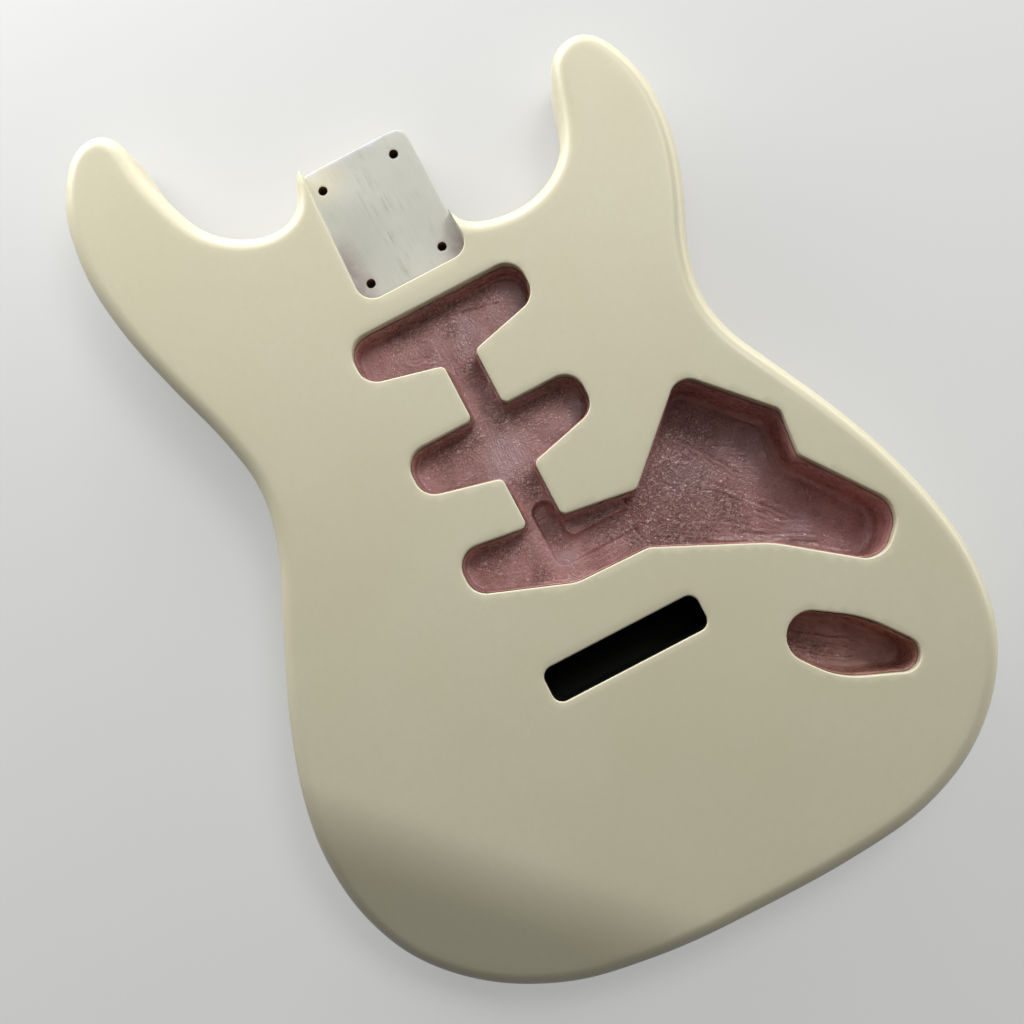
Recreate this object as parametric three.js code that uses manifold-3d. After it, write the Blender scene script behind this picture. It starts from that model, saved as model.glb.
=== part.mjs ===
/*
 * Bare solid body of an electric guitar, lying on its flat back.
 * The frame: the origin is on the neck centreline, in the plane of the back, under the end wall of
 * the neck pocket. +Z is up through the front face, +Y runs along the centreline to the neck,
 * +X runs to the side with the control cavity. Lengths are in millimetres, angles in degrees.
 */
import * as THREE from "three";
import { mergeVertices } from "three/addons/utils/BufferGeometryUtils.js";
import Module from "manifold-3d";

const wasm = await Module();
wasm.setup();
const { Manifold, Mesh } = wasm;

// Driving dimensions of the body. The template's shares are counted in the first two,
// and the outline that they give measures 459 mm by 326 mm.
const BODY_LENGTH = 462; // along the neck's centreline
const BODY_WIDTH = 329; // across it
const BODY_THICKNESS = 44.45; // the blank, front face to back
const EDGE_RADIUS = 7.5; // round-over of both edges
const BOARD_WIDTH = 112; // the middle board, from glue line to glue line

// Driving dimensions of the neck joint
const POCKET_LENGTH = 73.5; // from the end wall to the front of the heel
const POCKET_WIDTH = 55.4;
const POCKET_DEPTH = 15.9;
const POCKET_LEAN = 1.9; // how far the wall on the long horn's side leans in over that length
const POCKET_CORNER = 8.5; // radius of the two inner corners
const POCKET_SHY = 0.3; // the heel ends this much inside the open side of the pocket
const HEEL_WALL = 0.5; // the heel stands this much beyond the pocket on the long horn's side
const HEEL_CORNER = 6; // radius of the heel's free corner
const HEEL_POINT = 3; // and of its corner beside the long horn's cutaway
const HEEL_BEVEL = 2;
const SCREW_HOLE = 4.8; // diameter of the four neck screw holes
const SCREW_SPAN_X = 38.1;
const SCREW_SPAN_Y = 50.8;

// Driving dimensions of the pickup routes, the channels between them and the trench
const ROUTE_LENGTH = 88.6; // one route, across the body
const ROUTE_END_WIDTH = 21.2; // from its top edge to its corner at the end
const ROUTE_MID_WIDTH = 30.2; // from its top edge to its widest place
const ROUTE_FLOOR = 8.65; // wood between a route and the spring cavity in the back
const ROUTE_CORNER = 10; // radius at the ends of a route
const CHANNEL_WIDTH = 16.2;
const CHANNEL_CORNER = 3; // radius where a channel leaves a route
const BRIDGE_TURN = 8; // degrees that the top edge of the last route is turned
const TRENCH_WIDTH = 12.7; // one pass of the cutter
const TRENCH_FLOOR = 3.35; // wood between the trench and the spring cavity
const TRENCH_CORNER = 3;

// Driving dimensions of the other cavities
const CONTROL_FLOOR = 6.45; // wood under the control cavity
const JACK_FLOOR = 11.1; // wood under the output jack cavity
const SLOT_LENGTH = 78; // tremolo slot, right through the body
const SLOT_WIDTH = 17;
const SLOT_CORNER = 5;
const SPRING_DEPTH = 15.8; // spring cavity, cut from the back
const SPRING_WIDTH = 57.2;
const SPRING_CORNER = 6;
const BLOCK_RIM = 5; // the cavity is this much wider than the slot

// Drilled holes for the leads
const WIRE_HOLE = 8; // diameter, from the jack cavity to the control cavity
const WIRE_RISE = 7.5; // its height over the floor of the jack cavity
const GROUND_HOLE = 4; // diameter, from the control cavity to the spring cavity
const GROUND_RISE = 4.2; // its height over the floor of the control cavity

// Driving dimensions of the forearm bevel and of the belly scoop
const FOREARM_BLEND = 33; // width of the soft bend where the bevel begins
const FOREARM_DROP = 16; // fall of the face at the farthest point of the edge
const BELLY_RADIUS = 197; // the scoop is hollow along the body with this radius
const BELLY_SLOPE = 14.5; // degrees that it rises towards the edge

// Driving dimensions of the shielding coat
const COAT_THICKNESS = 0.6;
const COAT_TOP_DROP = 7; // the coat stops this far under the front face

// Clearances
const GLUE_GAP = 0.3; // between two boards
const COAT_GAP = 0.3; // between the coat and the wood
const CUT_MARGIN = 5; // how far a cutter stands out of the face that it enters
const LEAST_CORNER = 0.3; // radius of a corner that is called sharp
const WELD = 0.0001; // points closer than this are one point
const HALVINGS = 50; // steps of a search for a crossing

// Fineness of curved faces
const ARC_STEP = 10; // degrees of a rounded corner in one facet
const TURN_STEP = 6; // degrees of the outline in one facet
const LEAST_TURN = 0.1; // degrees under which the outline counts as straight
const LONGEST_FACET = 22; // on the nearly straight stretches of the outline
const FAIRING_STEP = 1.5; // spacing of the points that fair the outline
const FAIRING_PASSES = 14;
const TIP_REACH = 3; // faired points on each side that measure the radius of a tip
const TIP_SHARE = 0.9; // most that the round-over may take of that radius
const EDGE_FACETS = 6; // across the round-over
const HOLE_FACETS = 32;
const BELLY_BANDS = 6; // across the belly scoop
const FOREARM_BANDS = 5; // across the soft bend

const DEG = Math.PI / 180;
const QUARTER = 90;

// The heel, from its side on the control side to its side under the long horn
const HEEL_RIGHT = POCKET_WIDTH / 2 - POCKET_SHY;
const HEEL_LEFT = POCKET_WIDTH / 2 + HEEL_WALL;

// Outline of the body, clockwise from above, from the heel on the control side round to the heel
// on the other side. Both ends run on past the heel's front, which is cut square afterwards.
// These first points are shares of the heel's half width and of the body's length.
const HEEL_RIGHT_SHARES = [
  [1, 0.206],
  [1, 0.13],
  [1, 0.078],
  [1, 0.0525],
  [1.14, 0.0322],
];

// The rest of the outline in shares of the body's width and length
const OUTLINE_SHARES = [
  [0.1332, 0.0205],
  [0.18, 0.0176],
  [0.2253, 0.0269],
  [0.2616, 0.0481],
  [0.2832, 0.0777],
  [0.2964, 0.1087],
  [0.3117, 0.137],
  [0.3364, 0.1484],
  [0.3641, 0.1495],
  [0.386, 0.1396],
  [0.3996, 0.1232],
  [0.4141, 0.0962],
  [0.4212, 0.0605],
  [0.4153, 0.0111],
  [0.3909, -0.0441],
  [0.3595, -0.0945],
  [0.3434, -0.1448],
  [0.3529, -0.1892],
  [0.387, -0.2412],
  [0.4276, -0.3009],
  [0.4669, -0.3718],
  [0.4929, -0.4443],
  [0.4997, -0.5021],
  [0.4843, -0.5662],
  [0.4415, -0.6196],
  [0.3694, -0.6647],
  [0.2753, -0.6925],
  [0.1516, -0.7034],
  [0, -0.7051],
  [-0.1452, -0.702],
  [-0.2603, -0.6914],
  [-0.3684, -0.6564],
  [-0.446, -0.6021],
  [-0.4824, -0.5392],
  [-0.4897, -0.4741],
  [-0.4751, -0.4065],
  [-0.4428, -0.331],
  [-0.3946, -0.2497],
  [-0.3496, -0.1737],
  [-0.3351, -0.1126],
  [-0.3503, -0.0523],
  [-0.38, 0.0147],
  [-0.4073, 0.0863],
  [-0.42, 0.1558],
  [-0.4115, 0.2164],
  [-0.4018, 0.2371],
  [-0.3811, 0.2637],
  [-0.3621, 0.2794],
  [-0.337, 0.2884],
  [-0.3067, 0.2865],
  [-0.2886, 0.2691],
  [-0.2826, 0.2338],
  [-0.2653, 0.1896],
  [-0.2402, 0.1486],
  [-0.2019, 0.1235],
  [-0.1552, 0.1117],
  [-0.1143, 0.118],
];

// The last points, again in shares of the heel's half width and of the body's length
const HEEL_LEFT_SHARES = [
  [-1.115, 0.1385],
  [-1.005, 0.1645],
  [-1, 0.206],
];

// The heel block's inner end under each side, and the screws' middle, in shares of the pocket
const HEEL_BLOCK_SHARES = { left: 0.57, right: 0.38, cutaway: 0.88 };
const SCREW_SHARES = [-0.029, 0.509];
const BEVEL_ROUND_SHARE = 0.3; // where the heel's bevel is rounded

// The line where the forearm bevel starts and the middle of the belly scoop
const FOREARM_START_SHARES = [-0.438, -0.406];
const FOREARM_END_SHARES = [-0.032, -0.702];
const BELLY_SHARES = [-0.137, -0.108];

// Places of the routes, in shares of the body's length from the pocket's end wall
const NECK_ROUTE_SHARE = -0.0266; // top edge of the first route
const ROUTE_PITCH_SHARE = -0.1268; // from the first route to the second
const BRIDGE_TOP_SHARE = -0.262; // top edge of the last route, at its end
const BRIDGE_LOW_SHARE = -0.3078;
const SPRING_TOP_SHARE = -0.175;
const GROUND_HOLE_SHARE = -0.33;

// Corners of the cavities in shares of the body's width, its length and the route's corner radius
const BRIDGE_LOW_SHARES = [[0, -0.3435, 2]];
const CONTROL_LOW_SHARES = [
  [0.262, -0.3965, 6],
  [0.386, -0.464, 1.3], // round end towards the output jack
  [0.4438, -0.4236, 1.3],
  [0.3526, -0.3335, 0.45], // shoulder beside the second knob
  [0.3602, -0.2853, 0.6],
];
const CONTROL_TOP_SHARES = [
  [0.257, -0.2065, 0.9], // corner near the waist
  [0.1325, -0.2895, 0.4], // where the cavity meets the bridge route
];
const CONTROL_MOUTH_SHARES = [[0.11, -0.3455, 0.8]]; // where the lower edge leaves that route
const STEP_SHARES = [0.112, -0.2945]; // the deep part ends at a step beside that route
const TRENCH_SHARES = [0.005, -0.252, -0.3255]; // middle, top and bottom
const JACK_SHARES = [
  [0.2441, -0.462, 1.3],
  [0.2047, -0.4948, 1.3],
  [0.257, -0.5429, 4],
  [0.3479, -0.5694, 0.9],
  [0.3854, -0.5568, 0.9],
  [0.326, -0.5011, 6],
];
const WIRE_HOLE_SHARES = [0.26, -0.495, -0.375]; // across, and from one cavity to the other
const SLOT_SHARES = [0.0168, -0.4225];

// A place of the plan from its shares of the body's width and length, with a corner radius.
const place = ([x, y, corner = 0]) => [x * BODY_WIDTH, y * BODY_LENGTH, corner * ROUTE_CORNER];

const OUTLINE = [
  ...HEEL_RIGHT_SHARES.map(([x, y]) => [x * HEEL_RIGHT, y * BODY_LENGTH]),
  ...OUTLINE_SHARES.map(place),
  ...HEEL_LEFT_SHARES.map(([x, y]) => [x * HEEL_LEFT, y * BODY_LENGTH]),
];
const FOREARM_START = place(FOREARM_START_SHARES);
const FOREARM_END = place(FOREARM_END_SHARES);

// Rim of the pickup routes, the wiring channels and the control cavity, anticlockwise from above
const ROUTE_END = ROUTE_LENGTH / 2;
const HALF_CHANNEL = CHANNEL_WIDTH / 2;
const NECK_ROUTE_TOP = NECK_ROUTE_SHARE * BODY_LENGTH;
const MID_ROUTE_TOP = NECK_ROUTE_TOP + ROUTE_PITCH_SHARE * BODY_LENGTH;
const BRIDGE_TOP = BRIDGE_TOP_SHARE * BODY_LENGTH;
const bridgeTop = (x) => BRIDGE_TOP - (x + ROUTE_END) * Math.tan(BRIDGE_TURN * DEG);
const leftHalf = (top) => [
  [-ROUTE_END, top, ROUTE_CORNER],
  [-ROUTE_END, top - ROUTE_END_WIDTH, ROUTE_CORNER],
  [-HALF_CHANNEL, top - ROUTE_MID_WIDTH, CHANNEL_CORNER],
];
const rightHalf = (top) => [
  [HALF_CHANNEL, top - ROUTE_MID_WIDTH, CHANNEL_CORNER],
  [ROUTE_END, top - ROUTE_END_WIDTH, ROUTE_CORNER],
  [ROUTE_END, top, ROUTE_CORNER],
];
const CONTROL_RIM = [...CONTROL_LOW_SHARES, ...CONTROL_TOP_SHARES].map(place);
const MAIN_RIM = [
  ...leftHalf(NECK_ROUTE_TOP),
  [-HALF_CHANNEL, MID_ROUTE_TOP, CHANNEL_CORNER],
  ...leftHalf(MID_ROUTE_TOP),
  [-HALF_CHANNEL, bridgeTop(-HALF_CHANNEL), CHANNEL_CORNER],
  [-ROUTE_END, BRIDGE_TOP, ROUTE_CORNER],
  [-ROUTE_END, BRIDGE_LOW_SHARE * BODY_LENGTH, ROUTE_CORNER],
  ...BRIDGE_LOW_SHARES.map(place),
  ...CONTROL_MOUTH_SHARES.map(place),
  ...CONTROL_RIM,
  [HALF_CHANNEL, bridgeTop(HALF_CHANNEL), CHANNEL_CORNER],
  ...rightHalf(MID_ROUTE_TOP),
  [HALF_CHANNEL, MID_ROUTE_TOP, CHANNEL_CORNER],
  ...rightHalf(NECK_ROUTE_TOP),
];

// The deep part of the control cavity
const [STEP_X, STEP_TOP] = place(STEP_SHARES);
const STEP_LOW = place(CONTROL_MOUTH_SHARES[0])[1];
const CONTROL_DEEP = [[STEP_X, STEP_TOP, 0], [STEP_X, STEP_LOW, 0], ...CONTROL_RIM];

// A trench for the leads, one cutter wide, from the middle channel round into the control cavity
const TRENCH_ROUND = TRENCH_WIDTH / 2 - LEAST_CORNER;
const TRENCH_LEFT = TRENCH_SHARES[0] * BODY_WIDTH - TRENCH_WIDTH / 2;
const TRENCH_RIGHT = TRENCH_LEFT + TRENCH_WIDTH;
const TRENCH_TOP = TRENCH_SHARES[1] * BODY_LENGTH;
const TRENCH_LOW = TRENCH_SHARES[2] * BODY_LENGTH;
const TRENCH = [
  [TRENCH_LEFT, TRENCH_TOP, TRENCH_ROUND],
  [TRENCH_LEFT, TRENCH_LOW, TRENCH_ROUND],
  [STEP_X + CUT_MARGIN, TRENCH_LOW, 0],
  [STEP_X + CUT_MARGIN, TRENCH_LOW + TRENCH_WIDTH, 0],
  [TRENCH_RIGHT, TRENCH_LOW + TRENCH_WIDTH, TRENCH_CORNER],
  [TRENCH_RIGHT, TRENCH_TOP, TRENCH_ROUND],
];

// Heights of the floors of the cavities over the back
const POCKET_Z = BODY_THICKNESS - POCKET_DEPTH;
const ROUTE_Z = SPRING_DEPTH + ROUTE_FLOOR;
const TRENCH_Z = SPRING_DEPTH + TRENCH_FLOOR;
const ABOVE = BODY_THICKNESS + CUT_MARGIN; // where every cutter from the front begins

// Colours
const PAINT = { color: 0xd8d2bb, roughness: 0.32, metalness: 0 };
const COAT = { color: 0x7b5758, roughness: 0.42, metalness: 0 };

// A closed solid of manifold-3d from a three.js geometry.
function solid(geometry) {
  const bare = geometry.clone();
  bare.deleteAttribute("normal");
  bare.deleteAttribute("uv");
  const merged = mergeVertices(bare, WELD);
  return new Manifold(
    new Mesh({
      numProp: 3,
      vertProperties: new Float32Array(merged.attributes.position.array),
      triVerts: new Uint32Array(merged.index.array),
    }),
  );
}

// A closed polygon with rounded corners, moved inwards by an inset. The corners are [x, y, radius]
// anticlockwise; a reflex corner keeps its centre, so its radius grows by the inset. Where two
// radii don't fit on the side between them, both shrink.
function rounded(corners, inset = 0) {
  const count = corners.length;
  const normals = corners.map(([x, y], i) => {
    const [nextX, nextY] = corners[(i + 1) % count];
    return new THREE.Vector2(y - nextY, nextX - x).normalize();
  });
  const bends = corners.map(([x, y, radius], i) => {
    const before = normals[(i + count - 1) % count];
    const after = normals[i];
    const turn = Math.atan2(before.cross(after), before.dot(after));
    const middle = before.clone().add(after).divideScalar(1 + before.dot(after));
    const point = new THREE.Vector2(x, y).addScaledVector(middle, inset);
    const bend = Math.max(radius - Math.sign(turn) * inset, LEAST_CORNER);
    return { before, turn, middle, point, bend, reach: bend * Math.tan(Math.abs(turn) / 2) };
  });
  const fits = bends.map(({ point, reach }, i) => {
    const next = bends[(i + 1) % count];
    const side = Math.max(point.distanceTo(next.point) - LEAST_CORNER, LEAST_CORNER);
    return Math.min(1, side / (reach + next.reach));
  });
  const points = [];
  bends.forEach(({ before, turn, middle, point, bend }, i) => {
    const radius = bend * Math.min(fits[i], fits[(i + count - 1) % count]);
    const signed = Math.sign(turn) * radius;
    const centre = point.clone().addScaledVector(middle, signed);
    const facets = Math.max(2, Math.ceil(Math.abs(turn) / DEG / ARC_STEP));
    for (let k = 0; k <= facets; k++) {
      const spoke = before.clone().multiplyScalar(-signed);
      spoke.rotateAround(new THREE.Vector2(), (turn * k) / facets);
      points.push(centre.clone().add(spoke));
    }
  });
  return points;
}

// A prism with a plan and two heights.
function prism(points, bottom, top) {
  const shape = new THREE.Shape(points);
  const depth = top - bottom;
  const geometry = new THREE.ExtrudeGeometry(shape, { depth, bevelEnabled: false });
  return solid(geometry.translate(0, 0, bottom));
}

// A box between two corners.
function box(x0, x1, y0, y1, z0, z1) {
  const geometry = new THREE.BoxGeometry(x1 - x0, y1 - y0, z1 - z0);
  return solid(geometry.translate((x0 + x1) / 2, (y0 + y1) / 2, (z0 + z1) / 2));
}

// A round bar from one point to another.
function bar(from, to, diameter, facets = HOLE_FACETS) {
  const axis = to.clone().sub(from);
  const geometry = new THREE.CylinderGeometry(diameter / 2, diameter / 2, axis.length(), facets);
  const turn = new THREE.Quaternion();
  turn.setFromUnitVectors(new THREE.Vector3(0, 1, 0), axis.clone().normalize());
  geometry.applyQuaternion(turn);
  const middle = from.clone().add(to).multiplyScalar(0.5);
  return solid(geometry.translate(middle.x, middle.y, middle.z));
}

// The outline as closely spaced points, faired so that its bends are even.
const OUTLINE_PATH = new THREE.CatmullRomCurve3(
  OUTLINE.map(([x, y]) => new THREE.Vector3(x, y, 0)),
  false,
  "centripetal",
);
OUTLINE_PATH.arcLengthDivisions = 40 * OUTLINE.length;
let faired = OUTLINE_PATH.getSpacedPoints(Math.round(OUTLINE_PATH.getLength() / FAIRING_STEP));
for (let pass = 0; pass < FAIRING_PASSES; pass++) {
  faired = faired.map((point, i) => {
    if (i === 0 || i === faired.length - 1) return point;
    const middle = faired[i - 1].clone().add(faired[i + 1]).multiplyScalar(0.5);
    return middle.lerp(point, 0.5);
  });
}

// A station of the outline: a point and its inward normal, at a place counted in faired points.
function stationAt(place) {
  const last = faired.length - 1;
  const index = Math.min(Math.floor(place), last - 1);
  const point = faired[index].clone().lerp(faired[index + 1], place - index);
  const slope = (i) => faired[Math.min(i + 1, last)].clone().sub(faired[Math.max(i - 1, 0)]);
  const along = slope(index).normalize().lerp(slope(index + 1).normalize(), place - index);
  along.normalize();
  return { place, x: point.x, y: point.y, nx: along.y, ny: -along.x };
}

// Direction of the outline at a faired point, in radians, and the tightest radius of its tips.
const heading = (i) => {
  const step = faired[i + 1].clone().sub(faired[i - 1]);
  return Math.atan2(step.y, step.x);
};
let tightest = BODY_WIDTH;
for (let i = 2 * TIP_REACH; i < faired.length - 2 * TIP_REACH; i++) {
  const turn = heading(i - TIP_REACH) - heading(i + TIP_REACH);
  const wrapped = Math.atan2(Math.sin(turn), Math.cos(turn));
  const length = faired[i - TIP_REACH].distanceTo(faired[i + TIP_REACH]);
  if (wrapped > 0) tightest = Math.min(tightest, length / (2 * Math.sin(wrapped / 2)));
}

// The round-over fits inside the horns' tips.
const EDGE = Math.min(EDGE_RADIUS, TIP_SHARE * tightest);

// Stations along the outline, closer together in the bends.
function outlineStations() {
  const stations = [stationAt(0)];
  for (let place = 1; place < faired.length - 1; place++) {
    const last = stations[stations.length - 1];
    const station = stationAt(place);
    const turned = Math.acos(Math.min(1, last.nx * station.nx + last.ny * station.ny)) / DEG;
    const far = Math.hypot(station.x - last.x, station.y - last.y) > LONGEST_FACET;
    if (turned > TURN_STEP || (far && turned > LEAST_TURN)) stations.push(station);
  }
  return [...stations, stationAt(faired.length - 1)];
}

// Distance of a point beyond the line where the forearm bevel starts, towards the edge.
const FOREARM_LINE = new THREE.Vector2(
  FOREARM_END[0] - FOREARM_START[0],
  FOREARM_END[1] - FOREARM_START[1],
).normalize();
function beyondForearm(x, y) {
  const dx = x - FOREARM_START[0];
  const dy = y - FOREARM_START[1];
  return dx * FOREARM_LINE.y - dy * FOREARM_LINE.x;
}

// Fall of the front face at a distance beyond that line: a parabola, then a straight slope.
function forearmFall(distance, slope) {
  if (distance <= 0) return 0;
  if (distance < FOREARM_BLEND) return (slope * distance * distance) / (2 * FOREARM_BLEND);
  return slope * (distance - FOREARM_BLEND / 2);
}

// Rise of the back in the belly scoop, which is below zero where the back stays flat, and the
// place across the body where the scoop begins.
const [BELLY_X, BELLY_Y] = place(BELLY_SHARES);
const BELLY_RATE = Math.tan(BELLY_SLOPE * DEG);
const bellyHollow = (y) => (y - BELLY_Y) ** 2 / (2 * BELLY_RADIUS);
const bellyRise = (x, y) => (BELLY_X - x) * BELLY_RATE - bellyHollow(y);
const bellyStart = (y) => BELLY_X - bellyHollow(y) / BELLY_RATE;

// The blank with its edges rounded over, the forearm bevel and the belly scoop.
function blank() {
  const ringPoint = (station, inset) => [
    station.x + inset * station.nx,
    station.y + inset * station.ny,
  ];
  const innerBeyond = (station) => beyondForearm(...ringPoint(station, EDGE));
  const innerRise = (station) => bellyRise(...ringPoint(station, EDGE));

  // Stations and one more wherever a measure of them crosses a level
  const withCrossings = (stations, measure, level) => {
    const refined = [];
    stations.forEach((station, i) => {
      refined.push(station);
      if (i + 1 === stations.length) return;
      let low = station.place;
      let high = stations[i + 1].place;
      const rising = measure(stations[i + 1]) > measure(station);
      if ((measure(station) - level) * (measure(stations[i + 1]) - level) >= 0) return;
      for (let halving = 0; halving < HALVINGS; halving++) {
        const middle = (low + high) / 2;
        if (measure(stationAt(middle)) > level === rising) high = middle;
        else low = middle;
      }
      refined.push(stationAt(low));
    });
    return refined;
  };

  // Extra stations where the lines of the bevel and the scoop's border cross the innermost ring
  const lines = [];
  for (let k = 0; k <= FOREARM_BANDS; k++) {
    lines.push((FOREARM_BLEND * k) / FOREARM_BANDS);
  }
  let stations = withCrossings(outlineStations(), innerRise, 0);
  for (const line of lines) stations = withCrossings(stations, innerBeyond, line);

  const farthest = Math.max(...stations.map((station) => beyondForearm(station.x, station.y)));
  const slope = FOREARM_DROP / (farthest - FOREARM_BLEND / 2);
  const front = (x, y) => BODY_THICKNESS - forearmFall(beyondForearm(x, y), slope);

  // Rings of vertices: up the lower round-over, then up the upper one
  const rings = [];
  for (let k = EDGE_FACETS; k >= 0; k--) {
    const angle = ((QUARTER * DEG) / EDGE_FACETS) * k;
    const inset = EDGE * (1 - Math.cos(angle));
    const height = EDGE * (1 - Math.sin(angle));
    rings.push(
      stations.map((station) => {
        const [x, y] = ringPoint(station, inset);
        return [x, y, height + Math.max(0, bellyRise(x, y))];
      }),
    );
  }
  for (let k = 0; k <= EDGE_FACETS; k++) {
    const angle = ((QUARTER * DEG) / EDGE_FACETS) * k;
    const inset = EDGE * (1 - Math.cos(angle));
    const under = EDGE * (1 - Math.sin(angle));
    rings.push(
      stations.map((station) => {
        const [x, y] = ringPoint(station, inset);
        return [x, y, front(x, y) - under];
      }),
    );
  }

  const positions = rings.flat(2);
  const count = stations.length;
  const faces = [];
  for (let ring = 0; ring + 1 < rings.length; ring++) {
    for (let i = 0; i < count; i++) {
      const next = (i + 1) % count;
      const a = ring * count + i;
      const b = ring * count + next;
      faces.push(a, a + count, b, b, a + count, b + count);
    }
  }

  // A polygon of ring vertices becomes triangles that face up or down.
  const fill = (polygon, facingUp) => {
    const plan = polygon.map((v) => new THREE.Vector2(positions[3 * v], positions[3 * v + 1]));
    const clockwise = THREE.ShapeUtils.isClockWise(plan);
    const ordered = clockwise ? [...polygon].reverse() : polygon;
    const orderedPlan = clockwise ? [...plan].reverse() : plan;
    for (const [a, b, c] of THREE.ShapeUtils.triangulateShape(orderedPlan, [])) {
      if (facingUp) faces.push(ordered[a], ordered[b], ordered[c]);
      else faces.push(ordered[a], ordered[c], ordered[b]);
    }
  };

  // The belly scoop is a grid of rows across the body, each from the ring to the scoop's border.
  const inScoop = [...stations.keys()].filter((i) => innerRise(stations[i]) > -WELD);
  const rows = inScoop.map((i, row) => {
    const [x, y] = ringPoint(stations[i], EDGE);
    if (row === 0 || row === inScoop.length - 1) return new Array(BELLY_BANDS + 1).fill(i);
    const vertices = [i];
    for (let k = 1; k <= BELLY_BANDS; k++) {
      const across = x + ((bellyStart(y) - x) * k) / BELLY_BANDS;
      vertices.push(positions.length / 3);
      positions.push(across, y, k === BELLY_BANDS ? 0 : bellyRise(across, y));
    }
    return vertices;
  });
  for (let row = 0; row + 1 < rows.length; row++) {
    for (let k = 0; k < BELLY_BANDS; k++) {
      const [a, b] = [rows[row][k], rows[row][k + 1]];
      const [c, d] = [rows[row + 1][k], rows[row + 1][k + 1]];
      if (a !== b) faces.push(a, c, b);
      if (c !== d) faces.push(b, c, d);
    }
  }
  const border = rows.map((vertices) => vertices[BELLY_BANDS]);
  fill([...Array(inScoop[0]).keys(), ...border, ...stations.keys().drop(inScoop.at(-1) + 1)], false);

  // The front face is filled band by band between the lines of the bevel.
  const first = (rings.length - 1) * count;
  let rest = stations.map((station, i) => first + i);
  const beyond = (v) => beyondForearm(positions[3 * v], positions[3 * v + 1]);
  for (const line of lines) {
    const ends = rest.map((v, i) => i).filter((i) => Math.abs(beyond(rest[i]) - line) < WELD);
    const [from, to] = ends;
    const inside = rest.slice(from, to + 1);
    const outside = [...rest.slice(to), ...rest.slice(0, from + 1)];
    const insideIsFar = Math.max(...inside.map(beyond)) > Math.max(...outside.map(beyond));
    fill(insideIsFar ? outside : inside, true);
    rest = insideIsFar ? inside : outside;
  }
  fill(rest, true);

  const geometry = new THREE.BufferGeometry();
  geometry.setAttribute("position", new THREE.Float32BufferAttribute(positions, 3));
  geometry.setIndex(faces);
  return solid(geometry);
}

// A solid through a stack of levels, each the same rounded polygon at its own inset and height.
function loft(corners, levels) {
  const rings = levels.map(([inset, height]) =>
    rounded(corners, inset).map(({ x, y }) => [x, y, height]),
  );
  const count = rings[0].length;
  const faces = [];
  for (let ring = 0; ring + 1 < rings.length; ring++) {
    for (let i = 0; i < count; i++) {
      const a = ring * count + i;
      const b = ring * count + ((i + 1) % count);
      faces.push(a, b, a + count, b, b + count, a + count);
    }
  }
  const cap = (ring) =>
    THREE.ShapeUtils.triangulateShape(
      rings[ring].map(([x, y]) => new THREE.Vector2(x, y)),
      [],
    );
  const top = rings.length - 1;
  for (const [a, b, c] of cap(0)) faces.push(a, c, b);
  for (const [a, b, c] of cap(top)) faces.push(top * count + a, top * count + b, top * count + c);
  const geometry = new THREE.BufferGeometry();
  geometry.setAttribute("position", new THREE.Float32BufferAttribute(rings.flat(2), 3));
  geometry.setIndex(faces);
  return solid(geometry);
}

// The heel keeps its full width down to the back, where the neck plate sits.
function heelBlock() {
  const corners = [
    [-HEEL_LEFT, HEEL_BLOCK_SHARES.left * POCKET_LENGTH, 0],
    [HEEL_RIGHT, HEEL_BLOCK_SHARES.right * POCKET_LENGTH, 0],
    [HEEL_RIGHT, POCKET_LENGTH, HEEL_CORNER],
    [-HEEL_LEFT, POCKET_LENGTH, HEEL_POINT],
    [-HEEL_LEFT, HEEL_BLOCK_SHARES.cutaway * POCKET_LENGTH, 0],
  ];
  const rounding = BEVEL_ROUND_SHARE * HEEL_BEVEL;
  return loft(corners, [
    [HEEL_BEVEL, 0],
    [rounding, rounding],
    [0, HEEL_BEVEL],
    [0, POCKET_Z + HEEL_BEVEL],
  ]);
}

// A quarter round that falls from a height at one place to the next, as points of a profile.
function quarterRound(place, height, radius) {
  const points = [];
  for (let angle = QUARTER; angle >= 0; angle -= ARC_STEP) {
    points.push(
      new THREE.Vector2(
        place - radius * (1 - Math.cos(angle * DEG)),
        height - radius * (1 - Math.sin(angle * DEG)),
      ),
    );
  }
  return points;
}

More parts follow.
